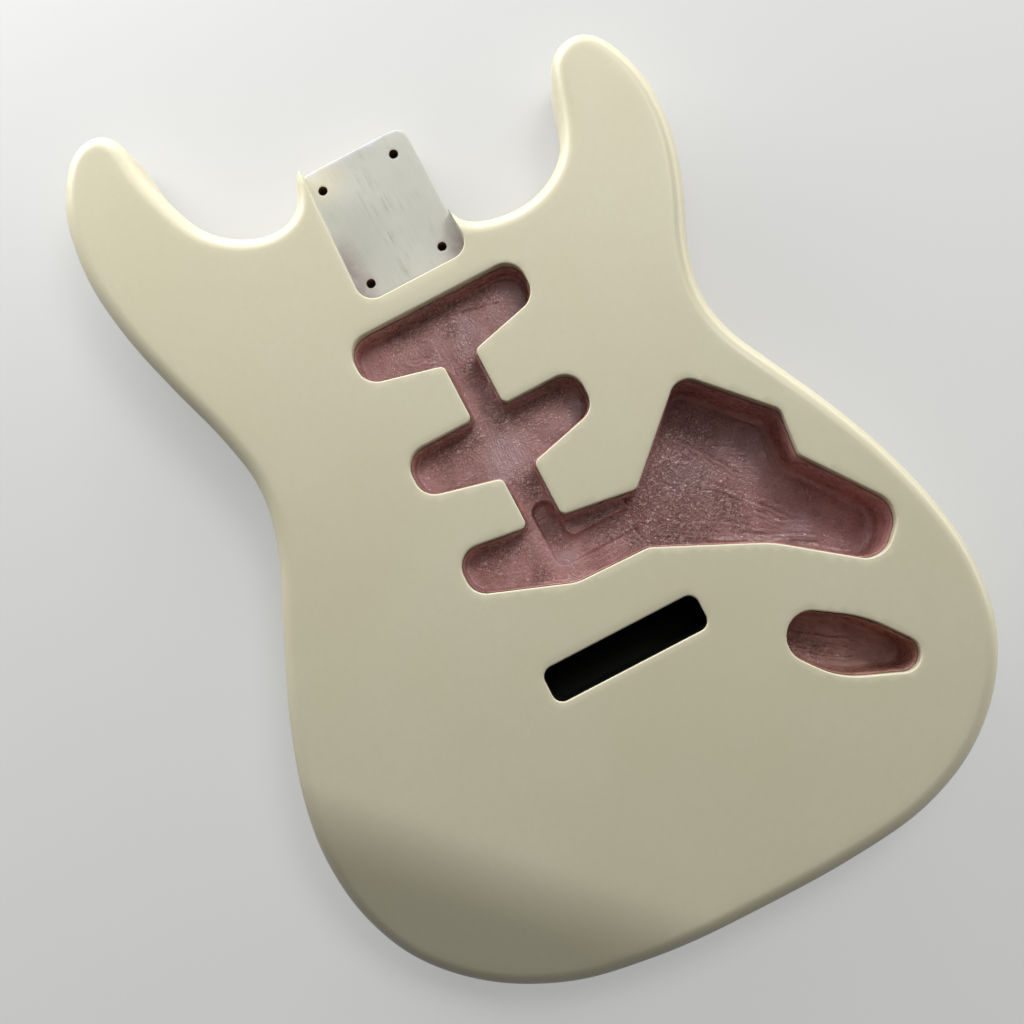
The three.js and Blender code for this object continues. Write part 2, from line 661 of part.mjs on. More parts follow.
// What is cut from the heel of the blank: all beyond its front, its corners, and its front edges.
function heelTrim() {
  const wide = HEEL_LEFT + HEEL_RIGHT;
  const front = POCKET_LENGTH;
  const trim = box(-wide, wide, front, BODY_LENGTH, -CUT_MARGIN, ABOVE);
  const corner = (side, x, radius) => {
    const round = quarterRound(x, front, radius);
    const plan = [
      new THREE.Vector2(x - radius, front + CUT_MARGIN),
      ...round,
      new THREE.Vector2(x + CUT_MARGIN, front - radius),
      new THREE.Vector2(x + CUT_MARGIN, front + CUT_MARGIN),
    ];
    const mirrored = plan.map((point) => new THREE.Vector2(side * point.x, point.y));
    return prism(mirrored, -CUT_MARGIN, ABOVE);
  };
  // The upper round-over runs on across the thin wall beside the pocket.
  const profile = [
    new THREE.Vector2(front - EDGE, ABOVE),
    ...quarterRound(front, BODY_THICKNESS, EDGE),
    new THREE.Vector2(front + CUT_MARGIN, BODY_THICKNESS - EDGE),
    new THREE.Vector2(front + CUT_MARGIN, ABOVE),
  ];
  const over = prism(profile, -wide, wide).rotate([QUARTER, 0, QUARTER]);
  const lower = [
    new THREE.Vector2(front - HEEL_BEVEL, 0),
    new THREE.Vector2(front - HEEL_BEVEL, -CUT_MARGIN),
    new THREE.Vector2(front + CUT_MARGIN, -CUT_MARGIN),
    new THREE.Vector2(front + CUT_MARGIN, HEEL_BEVEL + CUT_MARGIN),
    new THREE.Vector2(front, HEEL_BEVEL),
  ];
  const under = prism(lower, -wide, wide).rotate([QUARTER, 0, QUARTER]);
  return trim
    .add(corner(1, HEEL_RIGHT, HEEL_CORNER))
    .add(corner(-1, HEEL_LEFT, HEEL_POINT))
    .add(over)
    .add(under);
}

// A solid that fills the pickup routes, the channels, the trench and the control cavity up to a
// height, drawn in from their walls and floors by an inset.
function mainCavity(inset, top) {
  const shallow = prism(rounded(MAIN_RIM, inset), ROUTE_Z + inset, top);
  const deep = prism(rounded(CONTROL_DEEP, inset), CONTROL_FLOOR + inset, top);
  const trench = prism(rounded(TRENCH, inset), TRENCH_Z + inset, top);
  return shallow.add(deep).add(trench);
}

// A solid that fills the output jack cavity in the same way.
function jackCavity(inset, top) {
  return prism(rounded(JACK_SHARES.map(place), inset), JACK_FLOOR + inset, top);
}

// The drilled lead holes, as bars.
function leadHoles() {
  const wireX = WIRE_HOLE_SHARES[0] * BODY_WIDTH;
  const wireZ = JACK_FLOOR + WIRE_RISE;
  const groundY = GROUND_HOLE_SHARE * BODY_LENGTH;
  const groundZ = CONTROL_FLOOR + GROUND_RISE;
  const wire = bar(
    new THREE.Vector3(wireX, WIRE_HOLE_SHARES[1] * BODY_LENGTH, wireZ),
    new THREE.Vector3(wireX, WIRE_HOLE_SHARES[2] * BODY_LENGTH, wireZ),
    WIRE_HOLE,
  );
  const ground = bar(
    new THREE.Vector3(STEP_X + CUT_MARGIN, groundY, groundZ),
    new THREE.Vector3(SPRING_WIDTH / 2 - CUT_MARGIN, groundY, groundZ),
    GROUND_HOLE,
  );
  return wire.add(ground);
}

// The pocket for the neck. Its wall on the long horn's side leans in towards the front.
function pocket() {
  const half = POCKET_WIDTH / 2;
  const corners = [
    [-half, 0, POCKET_CORNER],
    [half, 0, POCKET_CORNER],
    [half, 2 * POCKET_LENGTH, 0],
    [-half + 2 * POCKET_LEAN, 2 * POCKET_LENGTH, 0],
  ];
  return prism(rounded(corners), POCKET_Z, ABOVE);
}

// The four holes for the neck screws.
function screwHoles() {
  const middleX = SCREW_SHARES[0] * POCKET_WIDTH;
  const middleY = SCREW_SHARES[1] * POCKET_LENGTH;
  const holes = [];
  for (const sideX of [-1, 1]) {
    for (const sideY of [-1, 1]) {
      const x = middleX + (sideX * SCREW_SPAN_X) / 2;
      const y = middleY + (sideY * SCREW_SPAN_Y) / 2;
      const from = new THREE.Vector3(x, y, -CUT_MARGIN);
      const to = new THREE.Vector3(x, y, ABOVE);
      holes.push(bar(from, to, SCREW_HOLE));
    }
  }
  return holes.reduce((all, hole) => all.add(hole));
}

// The tremolo slot, and the spring cavity that it opens into.
function tremoloCuts() {
  const [x, y] = place(SLOT_SHARES);
  const left = x - SLOT_LENGTH / 2;
  const right = x + SLOT_LENGTH / 2;
  const low = y - SLOT_WIDTH / 2;
  const high = y + SLOT_WIDTH / 2;
  const slot = [
    [left, low, SLOT_CORNER],
    [right, low, SLOT_CORNER],
    [right, high, SLOT_CORNER],
    [left, high, SLOT_CORNER],
  ];
  const half = SPRING_WIDTH / 2;
  const top = SPRING_TOP_SHARE * BODY_LENGTH;
  const springs = [
    [left - BLOCK_RIM, low - BLOCK_RIM, SPRING_CORNER],
    [right + BLOCK_RIM, low - BLOCK_RIM, SPRING_CORNER],
    [right + BLOCK_RIM, high + BLOCK_RIM, SPRING_CORNER],
    [half, high + BLOCK_RIM, SPRING_CORNER],
    [half, top, SPRING_CORNER],
    [-half, top, SPRING_CORNER],
    [-half, high + BLOCK_RIM, SPRING_CORNER],
    [left - BLOCK_RIM, high + BLOCK_RIM, SPRING_CORNER],
  ];
  const through = prism(rounded(slot), -CUT_MARGIN, ABOVE);
  return through.add(prism(rounded(springs), -CUT_MARGIN, SPRING_DEPTH));
}

// Everything that is routed or drilled, as one cutter.
function allCuts() {
  return pocket()
    .add(mainCavity(0, ABOVE))
    .add(jackCavity(0, ABOVE))
    .add(leadHoles())
    .add(screwHoles())
    .add(tremoloCuts());
}

// A named mesh with flat facets and its own material.
function part(name, manifold, look) {
  const made = manifold.getMesh();
  const indexed = new THREE.BufferGeometry();
  const positions = new THREE.BufferAttribute(made.vertProperties, made.numProp);
  indexed.setAttribute("position", positions);
  indexed.setIndex(new THREE.BufferAttribute(made.triVerts, 1));
  const geometry = indexed.toNonIndexed();
  geometry.computeVertexNormals();
  const mesh = new THREE.Mesh(geometry, new THREE.MeshStandardMaterial(look));
  mesh.name = name;
  return mesh;
}

const body = blank().subtract(heelTrim()).add(heelBlock()).subtract(allCuts());

// The blank is glued up from three boards, with the neck pocket and the bridge in the middle one.
const halfBoard = BOARD_WIDTH / 2;
const halfGap = GLUE_GAP / 2;
const far = BODY_LENGTH + BODY_WIDTH;
const slab = (x0, x1) => box(x0, x1, -far, far, -far, far);

const coatTop = BODY_THICKNESS - COAT_TOP_DROP;
const lining = (cavity) =>
  cavity(COAT_GAP, coatTop)
    .subtract(cavity(COAT_GAP + COAT_THICKNESS, ABOVE))
    .subtract(leadHoles());

const guitarBody = new THREE.Group();
guitarBody.add(
  part("bass_side_board", body.intersect(slab(-far, -halfBoard - halfGap)), PAINT),
  part("centre_board", body.intersect(slab(-halfBoard + halfGap, halfBoard - halfGap)), PAINT),
  part("treble_side_board", body.intersect(slab(halfBoard + halfGap, far)), PAINT),
  part("shield_coat_pickups_controls", lining(mainCavity), COAT),
  part("shield_coat_jack", lining(jackCavity), COAT),
);

export default guitarBody;
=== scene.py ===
# %% [markdown]
# # A bare electric guitar body, routed and ready for its neck and electronics
#
# The object is one slab of lacquered wood, lying on its back. What makes it worth looking at is
# how light runs over its rounded edges, the flat bevel where the player's forearm rests, and the
# rough brushed paint inside its cavities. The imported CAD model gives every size. This file gives
# the surfaces: it works the shapes out again with numpy, finer than the solids, and then builds a
# procedural finish for each. Lengths are in millimetres until a mesh is made, which is in metres.

import math

import bmesh
import bpy
import numpy as np
from mathutils import Matrix
from mathutils.geometry import delaunay_2d_cdt


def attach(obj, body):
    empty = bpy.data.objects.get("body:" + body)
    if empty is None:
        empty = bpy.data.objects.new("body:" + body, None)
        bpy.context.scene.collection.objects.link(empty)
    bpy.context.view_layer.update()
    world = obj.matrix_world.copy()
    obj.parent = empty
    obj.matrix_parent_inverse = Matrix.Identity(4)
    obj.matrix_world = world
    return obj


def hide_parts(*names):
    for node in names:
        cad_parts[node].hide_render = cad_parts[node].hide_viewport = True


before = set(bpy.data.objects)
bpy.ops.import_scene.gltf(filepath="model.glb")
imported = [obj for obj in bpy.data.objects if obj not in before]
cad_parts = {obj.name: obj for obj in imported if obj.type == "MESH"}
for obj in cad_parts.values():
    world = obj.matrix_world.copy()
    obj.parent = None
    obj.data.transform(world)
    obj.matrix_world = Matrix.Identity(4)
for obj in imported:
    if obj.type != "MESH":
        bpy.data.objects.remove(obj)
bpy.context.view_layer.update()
MM = 0.001
print("CAD nodes:", ", ".join(sorted(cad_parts)))

# %% [markdown]
# ## The camera
#
# The photograph was taken from almost straight above, a little turned and a little tipped. A
# camera can be placed by eye, or worked out from places whose real size is known. Here it was
# worked out from the neck screw holes, which stand on a standard rectangle. What is left is one
# place, three angles and one focal length.

# %% Place the camera
PICTURE = 1024  # pixels along each side of the picture
FOCAL = 1191.97  # focal length in pixels
SENSOR = 36.0  # width of the sensor in millimetres
CAMERA_PLACE = np.array([-9.36, -153.56, 585.46])
CAMERA_TURN = -0.4798236  # radians, about the line of sight
CAMERA_PITCH = -0.05860552
CAMERA_ROLL = 0.03475323


def camera_axes(turn, pitch, roll):
    """Rows right, down and forward: a turn about the sight line, then a roll, then a pitch."""
    c, s = math.cos(turn), math.sin(turn)
    looking_down = np.array([[c, s, 0], [s, -c, 0], [0, 0, -1]])
    c, s = math.cos(roll), math.sin(roll)
    rolled = np.array([[c, 0, s], [0, 1, 0], [-s, 0, c]])
    c, s = math.cos(pitch), math.sin(pitch)
    pitched = np.array([[1, 0, 0], [0, c, -s], [0, s, c]])
    return pitched @ rolled @ looking_down


right, down, forward = camera_axes(CAMERA_TURN, CAMERA_PITCH, CAMERA_ROLL)
camera_data = bpy.data.cameras.new("camera")
camera_data.sensor_width = SENSOR
camera_data.lens = FOCAL / PICTURE * SENSOR
camera_data.clip_start = 0.01
camera = bpy.data.objects.new("camera", camera_data)
bpy.context.scene.collection.objects.link(camera)
pose = np.eye(4)
pose[:3, 0], pose[:3, 1], pose[:3, 2] = right, -down, -forward
pose[:3, 3] = CAMERA_PLACE * MM
camera.matrix_world = Matrix(pose.tolist())
bpy.context.scene.camera = camera
print(f"camera: lens {camera_data.lens:.1f} mm, {CAMERA_PLACE[2]:.0f} mm over the back plane")

# %% [markdown]
# ## Sizes
#
# These are the sizes of the solids, repeated because this file reads nothing but the packed
# frame. Points of the plan are given as shares of the body's width and length, as a maker scales
# a template, and a corner's radius is counted in units of the pickup route's corner radius.

# %% The body's sizes and its outline
BODY_LENGTH = 462.0
BODY_WIDTH = 329.0
BODY_THICKNESS = 44.45
EDGE_RADIUS = 7.5
POCKET_LENGTH = 73.5
POCKET_WIDTH = 55.4
POCKET_LEAN = 1.9
POCKET_CORNER = 8.5
POCKET_DEPTH = 15.9
POCKET_FLOOR = BODY_THICKNESS - POCKET_DEPTH
POCKET_SHY = 0.3  # the heel ends this much inside the pocket's open side
HEEL_WALL = 0.5  # and stands this much beyond the wall on the other side
HEEL_RIGHT = POCKET_WIDTH / 2 - POCKET_SHY
HEEL_LEFT = POCKET_WIDTH / 2 + HEEL_WALL
HEEL_CORNER = 6.0
HEEL_POINT = 3.0
HEEL_BEVEL = 2.0
ROUTE_CORNER = 10.0
SPRING_DEPTH = 15.8
ROUTE_WOOD = 8.65  # between a route and the spring cavity in the back
TRENCH_WOOD = 3.35
ROUTE_LEVEL = SPRING_DEPTH + ROUTE_WOOD
TRENCH_LEVEL = SPRING_DEPTH + TRENCH_WOOD
CONTROL_LEVEL = 6.45
JACK_LEVEL = 11.1

HEEL_RIGHT_SHARES = [[1, 0.206], [1, 0.13], [1, 0.078], [1, 0.0525], [1.14, 0.0322]]
OUTLINE_SHARES = [
    [0.1332, 0.0205], [0.18, 0.0176], [0.2253, 0.0269], [0.2616, 0.0481], [0.2832, 0.0777],
    [0.2964, 0.1087], [0.3117, 0.137], [0.3364, 0.1484], [0.3641, 0.1495], [0.386, 0.1396],
    [0.3996, 0.1232], [0.4141, 0.0962], [0.4212, 0.0605], [0.4153, 0.0111], [0.3909, -0.0441],
    [0.3595, -0.0945], [0.3434, -0.1448], [0.3529, -0.1892], [0.387, -0.2412], [0.4276, -0.3009],
    [0.4669, -0.3718], [0.4929, -0.4443], [0.4997, -0.5021], [0.4843, -0.5662], [0.4415, -0.6196],
    [0.3694, -0.6647], [0.2753, -0.6925], [0.1516, -0.7034], [0, -0.7051], [-0.1452, -0.702],
    [-0.2603, -0.6914], [-0.3684, -0.6564], [-0.446, -0.6021], [-0.4824, -0.5392],
    [-0.4897, -0.4741], [-0.4751, -0.4065], [-0.4428, -0.331], [-0.3946, -0.2497],
    [-0.3496, -0.1737], [-0.3351, -0.1126], [-0.3503, -0.0523], [-0.38, 0.0147], [-0.4073, 0.0863],
    [-0.42, 0.1558], [-0.4115, 0.2164], [-0.4018, 0.2371], [-0.3811, 0.2637], [-0.3621, 0.2794],
    [-0.337, 0.2884], [-0.3067, 0.2865], [-0.2886, 0.2691], [-0.2826, 0.2338], [-0.2653, 0.1896],
    [-0.2402, 0.1486], [-0.2019, 0.1235], [-0.1552, 0.1117], [-0.1143, 0.118],
]
HEEL_LEFT_SHARES = [[-1.115, 0.1385], [-1.005, 0.1645], [-1, 0.206]]


def shares(rows, width=BODY_WIDTH):
    """Places of the plan from shares of a width and of the body's length, with corner radii."""
    scale = np.array([width, BODY_LENGTH, ROUTE_CORNER])
    rows = np.array(rows, float)
    return rows * scale[: rows.shape[1]]


template = np.concatenate((
    shares(HEEL_RIGHT_SHARES, HEEL_RIGHT),
    shares(OUTLINE_SHARES),
    shares(HEEL_LEFT_SHARES, HEEL_LEFT),
))
print(f"outline template: {len(template)} points")

# %% [markdown]
# ## Tools for drawing in plan
#
# Everything that follows starts as a curve in plan: the outline, and the rims of the cavities. A
# few small functions make such curves, space their points evenly, and measure from them. A
# quarter circle of the distance to a curve then gives every rounded edge, inside or outside.

# %% Curves in plan
CURVE_POINTS = 60  # on each stretch of a smooth path
CORNER_FACETS = 14  # on each rounded corner
LEAST_CORNER = 0.3  # radius of a corner that is called sharp
TOUCHING = 1e-4  # places closer than this are on the curve
TINY = 1e-12  # keeps a division from having zero under it


def exact(points):
    """Points as the triangulation stores them, so that two surfaces meet in the same vertex."""
    return np.asarray(points, np.float32).astype(float)


def smooth_path(points, spacing):
    """Centripetal Catmull-Rom curve through points: a cubic on each stretch, whose end slopes
    come from divided differences over steps that are the square root of the distances."""
    ends = (2 * points[0] - points[1], 2 * points[-1] - points[-2])
    p = np.concatenate(([ends[0]], points, [ends[1]]))
    step = np.sqrt(np.hypot(*np.diff(p, axis=0).T))[:, None]
    before, here, after = step[:-2], step[1:-1], step[2:]
    slope = np.diff(p, axis=0) / step
    joined = (p[2:] - p[:-2]) / (step[:-1] + step[1:])
    start = (slope[:-2] - joined[:-1] + slope[1:-1]) * here
    end = (slope[1:-1] - joined[1:] + slope[2:]) * here
    t = np.linspace(0, 1, CURVE_POINTS, endpoint=False)[None, :, None]
    a, b = p[1:-2, None], p[2:-1, None]
    m, n = start[:, None], end[:, None]
    cubic = (2 * t**3 - 3 * t**2 + 1) * a + (t**3 - 2 * t**2 + t) * m
    cubic = cubic + (3 * t**2 - 2 * t**3) * b + (t**3 - t**2) * n
    return respace(np.concatenate((cubic.reshape(-1, 2), [points[-1]])), spacing, closed=False)


def respace(path, spacing, closed=True):
    """The same path with points at even steps of its length."""
    line = np.concatenate((path, path[:1])) if closed else path
    along = np.concatenate(([0], np.cumsum(np.hypot(*np.diff(line, axis=0).T))))
    count = max(3, round(along[-1] / spacing))
    places = np.linspace(0, along[-1], count + 1)
    even = np.column_stack([np.interp(places, along, line[:, k]) for k in (0, 1)])
    return exact(even[:-1] if closed else even)


def faired(path, passes, closed=False):
    """Each pass moves every point halfway to the mean of its neighbours."""
    for _ in range(passes):
        mean = (np.roll(path, 1, 0) + np.roll(path, -1, 0)) / 2
        moved = (mean + path) / 2
        if not closed:
            moved[0], moved[-1] = path[0], path[-1]
        path = moved
    return path


def rounded(corners, inset=0.0):
    """Polygon with rounded corners, anticlockwise and moved inwards by an inset: each corner
    point slides along its bisector, and an arc of the corner's radius, less the inset, turns
    from one side's normal to the next. Two radii that don't fit on a side both shrink."""
    corner, radius = np.array(corners)[:, :2], np.array(corners)[:, 2]
    side = np.roll(corner, -1, 0) - corner
    after = np.column_stack((-side[:, 1], side[:, 0])) / np.hypot(*side.T)[:, None]
    before = np.roll(after, 1, 0)
    dot = (before * after).sum(1)
    turn = np.arctan2(before[:, 0] * after[:, 1] - before[:, 1] * after[:, 0], dot)
    bisector = (before + after) / (1 + dot)[:, None]
    point = corner + inset * bisector
    bend = np.maximum(radius - np.sign(turn) * inset, LEAST_CORNER)
    reach = bend * np.tan(abs(turn) / 2)
    room = np.hypot(*(np.roll(point, -1, 0) - point).T) - LEAST_CORNER
    room = np.maximum(room, LEAST_CORNER)
    fit = np.minimum(1, room / (reach + np.roll(reach, -1)))
    signed = np.sign(turn) * bend * np.minimum(fit, np.roll(fit, 1))
    centre = point + bisector * signed[:, None]
    angle = turn[:, None] * np.linspace(0, 1, CORNER_FACETS + 1)
    x, y = (-before * signed[:, None]).T
    arc_x = x[:, None] * np.cos(angle) - y[:, None] * np.sin(angle)
    arc_y = x[:, None] * np.sin(angle) + y[:, None] * np.cos(angle)
    return (centre[:, None] + np.stack((arc_x, arc_y), 2)).reshape(-1, 2)


def inward(loop, anticlockwise=True):
    """Unit normals of a closed loop, towards its inside."""
    along = np.roll(loop, -1, 0) - np.roll(loop, 1, 0)
    normal = np.column_stack((-along[:, 1], along[:, 0])) / np.hypot(*along.T)[:, None]
    return normal if anticlockwise else -normal


# %% Measuring from curves
CHUNK = 400  # points measured at a time, to save memory


def nearest(points, path, closed=True):
    """Distance of each point from a path, and how far along the path its nearest place is: the
    point is dropped onto every stretch at right angles, and the closest foot wins."""
    start = path if closed else path[:-1]
    step = (np.roll(path, -1, 0) if closed else path[1:]) - start
    square = (step**2).sum(1)
    length = np.sqrt(square)
    before = np.concatenate(([0], np.cumsum(length)[:-1]))
    distance, along = np.empty(len(points)), np.empty(len(points))
    for first in range(0, len(points), CHUNK):
        part = slice(first, first + CHUNK)
        x = points[part, 0, None] - start[:, 0]
        y = points[part, 1, None] - start[:, 1]
        t = np.clip((x * step[:, 0] + y * step[:, 1]) / square, 0, 1)
        far = (x - t * step[:, 0]) ** 2 + (y - t * step[:, 1]) ** 2
        best = far.argmin(1)
        row = np.arange(len(best))
        distance[part] = np.sqrt(far[row, best])
        along[part] = before[best] + t[row, best] * length[best]
    distance[distance < TOUCHING] = 0
    return distance, along


def right_normal(path):
    """Unit normals of an open path, to the right of its direction."""
    along = np.gradient(path, axis=0)
    normal = np.column_stack((along[:, 1], -along[:, 0]))
    return normal / np.hypot(*normal.T)[:, None]


def inside(points, loop):
    """Whether points lie in a closed loop: a ray to the right crosses it an odd number of times."""
    x0, y0 = loop.T
    x1, y1 = np.roll(loop, -1, 0).T
    rise = np.where(y1 == y0, TINY, y1 - y0)
    result = np.empty(len(points), bool)
    for first in range(0, len(points), CHUNK):
        x, y = points[first:first + CHUNK, 0, None], points[first:first + CHUNK, 1, None]
        spans = (y0 > y) != (y1 > y)
        crossing = x0 + (y - y0) * (x1 - x0) / rise
        result[first:first + CHUNK] = (spans & (x < crossing)).sum(1) % 2 == 1
    return result


def region(loop, *holes):
    """A test of whether places lie in a loop and in none of its holes."""
    def test(points):
        result = inside(points, loop)
        for hole in holes:
            result &= ~inside(points, hole)
        return result
    return test


def depth_in(points, loop):
    """Signed distance from a closed loop, above zero inside it."""
    return np.where(inside(points, loop), 1, -1) * nearest(points, loop)[0]


def ease(t):
    """Cubic step from 0 to 1, level at both ends."""
    t = np.clip(t, 0, 1)
    return t * t * (3 - 2 * t)


def quarter(distance, radius):
    """Fall below a flat face, at a distance from its rounded edge: the radius less the height
    of a quarter circle. It is zero beyond the radius, and the whole radius at the edge."""
    reach = radius - np.minimum(distance, radius)
    return radius - np.sqrt(np.maximum(radius**2 - reach**2, 0))


def quarter_steps(radius, count):
    """Distances from an edge at which a quarter circle has turned by even angles."""
    return radius * (1 - np.cos(np.linspace(0, math.pi / 2, count + 1)[1:]))


print("plan tools ready")

# %% [markdown]
# ## Tools for surfaces
#
# Two kinds of patch make every piece. A strip is a grid over two parameters, the place along a
# curve and the height. A sheet is a height above the plan, filled with triangles between curves.
# Patches that share a curve share its points, so that a piece closes when doubles are merged.

# %% Patches and pieces
def strip(rows, closed=True):
    """Quads over a grid of points [row, place along the curve, xyz]."""
    rows = np.asarray(rows)
    count, across = rows.shape[:2]
    place = np.arange(across if closed else across - 1)
    following = (place + 1) % across
    start = np.arange(count - 1)[:, None] * across
    a, b = start + place, start + following
    quads = np.stack((a, b, b + across, a + across), 2).reshape(-1, 4)
    return rows.reshape(-1, 3), quads


def between(loop, low, high, steps, closed=True):
    """Strip over a curve from one height to another, which may vary along it."""
    share = np.linspace(0, 1, steps + 1)[:, None]
    height = low + (high - low) * share
    plan = np.broadcast_to(loop, (steps + 1, *loop.shape))
    return strip(np.concatenate((plan, height[..., None]), 2), closed)


def sheet_plan(curves, scattered, keep):
    """Triangles in plan between curves, through scattered points too: a constrained Delaunay
    triangulation. Curves are (points, closed), and keep says which middles stay."""
    points, edges, first = [], [], 0
    for curve, closed in curves:
        index = np.arange(len(curve)) + first
        pairs = np.column_stack((index, np.roll(index, -1)))
        edges.append(pairs if closed else pairs[:-1])
        points.append(curve)
        first += len(curve)
    points = exact(np.concatenate(points + [scattered]))
    made = delaunay_2d_cdt(
        points.tolist(), np.concatenate(edges).tolist(), [], 0, 1e-5, False)
    plan, triangles = np.array([v[:] for v in made[0]]), np.array(made[2])
    triangles = triangles[keep(plan[triangles].mean(1))]
    used, index = np.unique(triangles, return_inverse=True)
    return plan[used], index.reshape(-1, 3)


def loop_plan(loop, holes, scattered):
    """Triangles in plan over a loop less its holes, through the scattered points in it."""
    keep = region(loop, *holes)
    curves = [(curve, True) for curve in (loop, *holes)]
    return sheet_plan(curves, scattered[keep(scattered)], keep)


def lifted(plan, height):
    """Points of the plan with their heights."""
    return np.column_stack((plan, height))


def piece_from(name, patches, materials, sharp=35.0, stored=None):
    """One mesh from patches of (points in mm, faces, material number), with values stored on the
    points of the first patch. Doubles are merged, and the faces are turned outwards, which
    works because the piece is closed."""
    points = np.concatenate([p for p, _, _ in patches]) * MM
    offsets = np.cumsum([0] + [len(p) for p, _, _ in patches])
    faces, numbers = [], []
    for (_, part, number), offset in zip(patches, offsets):
        faces += (part + offset).tolist()
        numbers += [number] * len(part)
    mesh = bpy.data.meshes.new(name)
    mesh.from_pydata(points.tolist(), [], faces)
    mesh.polygons.foreach_set("material_index", numbers)
    for material in materials:
        mesh.materials.append(material)
    for key, values in (stored or {}).items():
        kind, slot = ("FLOAT", "value") if values.ndim == 1 else ("FLOAT_VECTOR", "vector")
        everywhere = np.zeros((len(points), *values.shape[1:]))
        everywhere[:len(values)] = values
        mesh.attributes.new(key, kind, "POINT").data.foreach_set(slot, everywhere.ravel())
    piece = bpy.data.objects.new(name, mesh)
    bpy.context.scene.collection.objects.link(piece)
    work = bmesh.new()
    work.from_mesh(mesh)
    bmesh.ops.remove_doubles(work, verts=work.verts, dist=2e-6)
    bmesh.ops.dissolve_degenerate(work, edges=work.edges, dist=1e-7)
    bmesh.ops.recalc_face_normals(work, faces=work.faces)
    open_edges = sum(not edge.is_manifold for edge in work.edges)
    work.to_mesh(mesh)
    work.free()
    mesh.shade_smooth()
    mesh.set_sharp_from_angle(angle=math.radians(sharp))
    triangles = sum(len(p.vertices) - 2 for p in mesh.polygons)
    print(f"{name}: {triangles} triangles, {open_edges} open edges")
    return piece


def grid_points(low, high, spacing):
    """Points of a triangular grid between two corners of the plan."""
    x = np.arange(low[0], high[0], spacing)
    y = np.arange(low[1], high[1], spacing * math.sqrt(3) / 2)
    across, up = np.meshgrid(x, y)
    across = across + (np.arange(len(y)) % 2)[:, None] * spacing / 2
    return np.column_stack((across.ravel(), up.ravel()))


# %% Noise that gives the same value at the same place on every run
def noise(places, seed=0):
    """Gradient noise in space, about -1 to 1: each corner of a unit cell has a direction drawn
    from a hash of its place, and the eight slopes are blended by a curve of fifth degree."""
    cell = np.floor(places).astype(np.int64)
    local = places - cell
    fade = local**3 * (local * (local * 6 - 15) + 10)
    total = np.zeros(len(places))
    mask = np.int64(0xFFFFFFFF)
    for corner in np.ndindex(2, 2, 2):
        at = cell + np.array(corner)
        key = at[:, 0] * 374761393 + at[:, 1] * 668265263 + at[:, 2] * 1440662683
        key = (key + seed * 1274126177) & mask
        key = ((key ^ (key >> 13)) * 1274126177) & mask
        key = ((key ^ (key >> 16)) * 668265263) & mask
        turn = (key & 0xFFFF) / 65536 * 2 * math.pi
        tall = ((key >> 16) & 0xFFFF) / 65536 * 2 - 1
        flat = np.sqrt(1 - tall**2)
        slope = np.column_stack((np.cos(turn) * flat, np.sin(turn) * flat, tall))
        weight = np.prod(np.where(corner, fade, 1 - fade), axis=1)
        total += weight * (slope * (local - corner)).sum(1)
    return total * 1.6


print("surface tools ready")

# %% [markdown]
# ## The outline and the rims
#
# The outline is a curve through the template's points, faired as a maker sands a template until
# no bump is felt. It is closed across the heel's square front, with a rounded corner on each
# side. The loop starts where the pocket's wall runs out into the cutaway of the short horn, so
# that the heel is its last stretch.

# %% Close the outline round the heel
PLAN_STEP = 1.4  # spacing of points along the outline
FAIRING_STEP, FAIRING_PASSES = 1.5, 14  # spacing of the points that are faired, and how often
HEEL_LEFT_CLEAR = 5  # the template ends this far short of the heel's left corner
OPEN_END = 22  # about how far along the neck the pocket's short wall runs out

template_curve = faired(smooth_path(template, FAIRING_STEP), FAIRING_PASSES)


def arc(centre, radius, start, end, count=9):
    """Points on an arc of a circle between two angles in degrees."""
    angle = np.radians(np.linspace(start, end, count))
    return np.array(centre) + radius * np.column_stack((np.cos(angle), np.sin(angle)))


at_right = np.argmax(template_curve[:, 1] < POCKET_LENGTH - HEEL_CORNER)
before_heel = template_curve[::-1, 1] < POCKET_LENGTH - HEEL_LEFT_CLEAR
at_left = len(template_curve) - np.argmax(before_heel)
left_corner = arc((HEEL_POINT - HEEL_LEFT, POCKET_LENGTH - HEEL_POINT), HEEL_POINT, 180, 90)
right_corner = arc((HEEL_RIGHT - HEEL_CORNER, POCKET_LENGTH - HEEL_CORNER), HEEL_CORNER, 90, 0)
closed_curve = np.concatenate((template_curve[at_right:at_left], left_corner, right_corner))
outline = faired(respace(closed_curve, PLAN_STEP), 2, closed=True)


def pocket_line(points):
    """Distance of points to the right of the pocket's leaning wall."""
    return points[:, 0] + POCKET_WIDTH / 2 - POCKET_LEAN * points[:, 1] / POCKET_LENGTH


def split_at(loop, level, near):
    """The loop with one more point where a level changes sign, closest to a place, as its
    first point."""
    here, there = level(loop), level(np.roll(loop, -1, 0))
    far = np.hypot(*(loop - near).T)
    index = np.where(here * there <= 0, far, np.inf).argmin()
    share = here[index] / (here[index] - there[index])
    point = loop[index] + share * (np.roll(loop, -1, 0)[index] - loop[index])
    return np.concatenate(([point], np.roll(loop, -index - 1, 0)))


outline = split_at(outline, pocket_line, (POCKET_LEAN - POCKET_WIDTH / 2, POCKET_LENGTH))
far_corner = outline[0].copy()
outline = split_at(outline, lambda p: p[:, 0] - POCKET_WIDTH / 2, (POCKET_WIDTH / 2, OPEN_END))
outline = exact(outline)
MAIN_SIDE = int(np.hypot(*(outline - far_corner).T).argmin())
outline_normal = inward(outline, anticlockwise=False)
print(f"outline: {len(outline)} points, {np.ptp(outline, 0).round(1)} mm,"
      f" wall ends at {outline[0].round(1)} and {outline[MAIN_SIDE].round(1)}")

